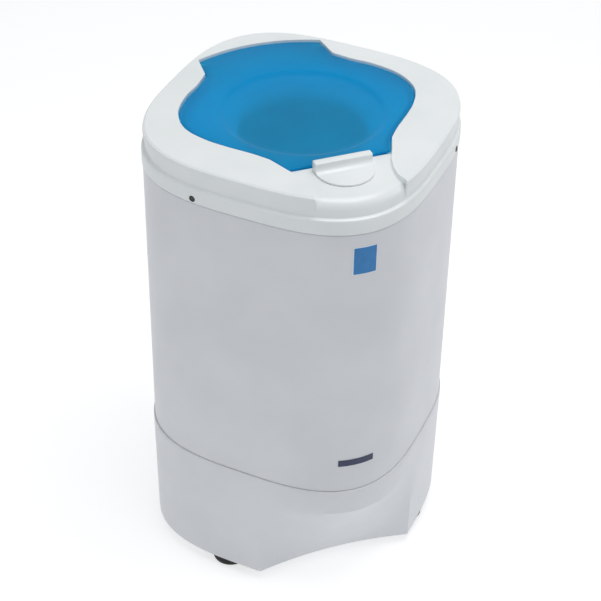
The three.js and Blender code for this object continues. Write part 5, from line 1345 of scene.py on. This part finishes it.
def corner_film(name, node, margin, out, thickness, material, slot, replace):
    """A film on the front corner that covers a label's node, less a margin all round."""
    low, high = millimetres(node)
    half = (high.x - low.x) / 2 - margin
    z_low, z_high = low.z + margin, high.z - margin
    xs = [half * (-1 + 2 * i / (FILM_COLUMNS - 1)) for i in range(FILM_COLUMNS)]

    def place(x, z, stand):
        turn = FRONT_TURN + x / CORNER_MM_PER_DEGREE
        spot, normal = plan_point(turn, cabinet_inset(z))
        return (spot.x + normal.x * stand, spot.y + normal.y * stand, z)

    rows = []
    for z, stand in ((z_low, out), (z_high, out), (z_high, out + thickness), (z_low, out + thickness)):
        rows.append([place(x, z, stand) for x in xs])
    points = [point for row in rows for point in row]
    count = FILM_COLUMNS
    faces = []
    for r in range(4):
        a, b = r * count, ((r + 1) % 4) * count
        faces += [(a + i + 1, a + i, b + i, b + i + 1) for i in range(count - 1)]
    faces += [(0, count, 2 * count, 3 * count), (4 * count - 1, 3 * count - 1, 2 * count - 1, count - 1)]
    piece(name, points, faces, material, "housing", nodes=[node] if replace else (), slot=slot, sharp=35)


CORNER_MM_PER_DEGREE = (plan_point(FRONT_TURN + 3)[0].x - plan_point(FRONT_TURN - 3)[0].x) / 6
corner_film("badge_border", "front_badge", 0.2, 0.05, 0.6, badge_light, "badge", True)
corner_film("badge_field", "front_badge", 1.4, 0.55, 0.3, badge_film, "badge", False)
corner_film("navy_strip", "plain_plate", 0.2, 0.05, 0.6, navy_film, "plate_navy", True)
print("badge and strip")

# %% [markdown]
# ### The springs
# Each spring is wound from one wire. Its foot stays on the post and its head goes with the motor plate.
# The coil is built in the frame spring's place as a fixed mesh that no body carries.

# %% Wind three springs
SPRING_WIRE_RADIUS = 1.6
SPRING_TURNS = 5
STEPS_PER_TURN = 28
WIRE_SIDES = 10


def coil_spring(name, node):
    """A coil in the node's place, as one wire with both ends cut off square."""
    low, high = millimetres(node)
    middle_x, middle_y = (low.x + high.x) / 2, (low.y + high.y) / 2
    coil_radius = (high.x - low.x) / 2 - SPRING_WIRE_RADIUS
    foot, head = low.z + SPRING_WIRE_RADIUS, high.z - SPRING_WIRE_RADIUS
    steps = SPRING_TURNS * STEPS_PER_TURN
    rows = []
    for i in range(steps + 1):
        turn = 2 * math.pi * i / STEPS_PER_TURN
        row = []
        for k in range(WIRE_SIDES):
            around = 2 * math.pi * k / WIRE_SIDES
            out = coil_radius + SPRING_WIRE_RADIUS * math.cos(around)
            row.append((middle_x + out * math.cos(turn), middle_y + out * math.sin(turn),
                        foot + (head - foot) * i / steps + SPRING_WIRE_RADIUS * math.sin(around)))
        rows.append(row)
    coil = loft(name, rows, spring_steel, None, close=False, nodes=[node], slot="steel", sharp=50)
    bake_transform(coil)


for number in (1, 2, 3):
    coil_spring(f"spring_coil_{number}", f"suspension_spring_{number}")
print("three springs of", SPRING_TURNS, "turns")

# %% [markdown]
# ## Finishes for the solids that stay
# The working pieces inside keep the frame's solids. Each one gets the finish of what it is made of.

# %% A finish for every other node
FINISHES = {
    zinc_steel: ["base_plate", "hub_nut", "drum_shaft", "brake_drum", "lower_bearing", "upper_bearing",
                 "hinge_pin_right", "hinge_pin_left", "motor_housing", "brake_lever",
                 "suspension_stud_1", "suspension_stud_2", "suspension_stud_3"],
    cast_aluminium: ["drum_hub", "motor_end_cap", "bearing_sleeve"],
    black_steel: ["rotor", "motor_plate", "lid_switch"],
    rubber: ["tub_boot", "drain_hose", "brake_cable", "brake_lining"],
    grey_plastic: ["water_tub", "tub_floor", "cooling_fan",
                   "suspension_post_1", "suspension_post_2", "suspension_post_3"],
    copper_winding: ["stator"],
    collar_white: ["tub_deck", "capacitor", "switch_plunger"],
}
for material, names in FINISHES.items():
    for name in names:
        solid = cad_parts[name]
        solid.data.materials.clear()
        solid.data.materials.append(material)
dressed = {name for names in FINISHES.values() for name in names}
left = [name for name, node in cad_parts.items() if name not in dressed and not node.hide_render]
print(len(dressed), "solids dressed, left without:", left)
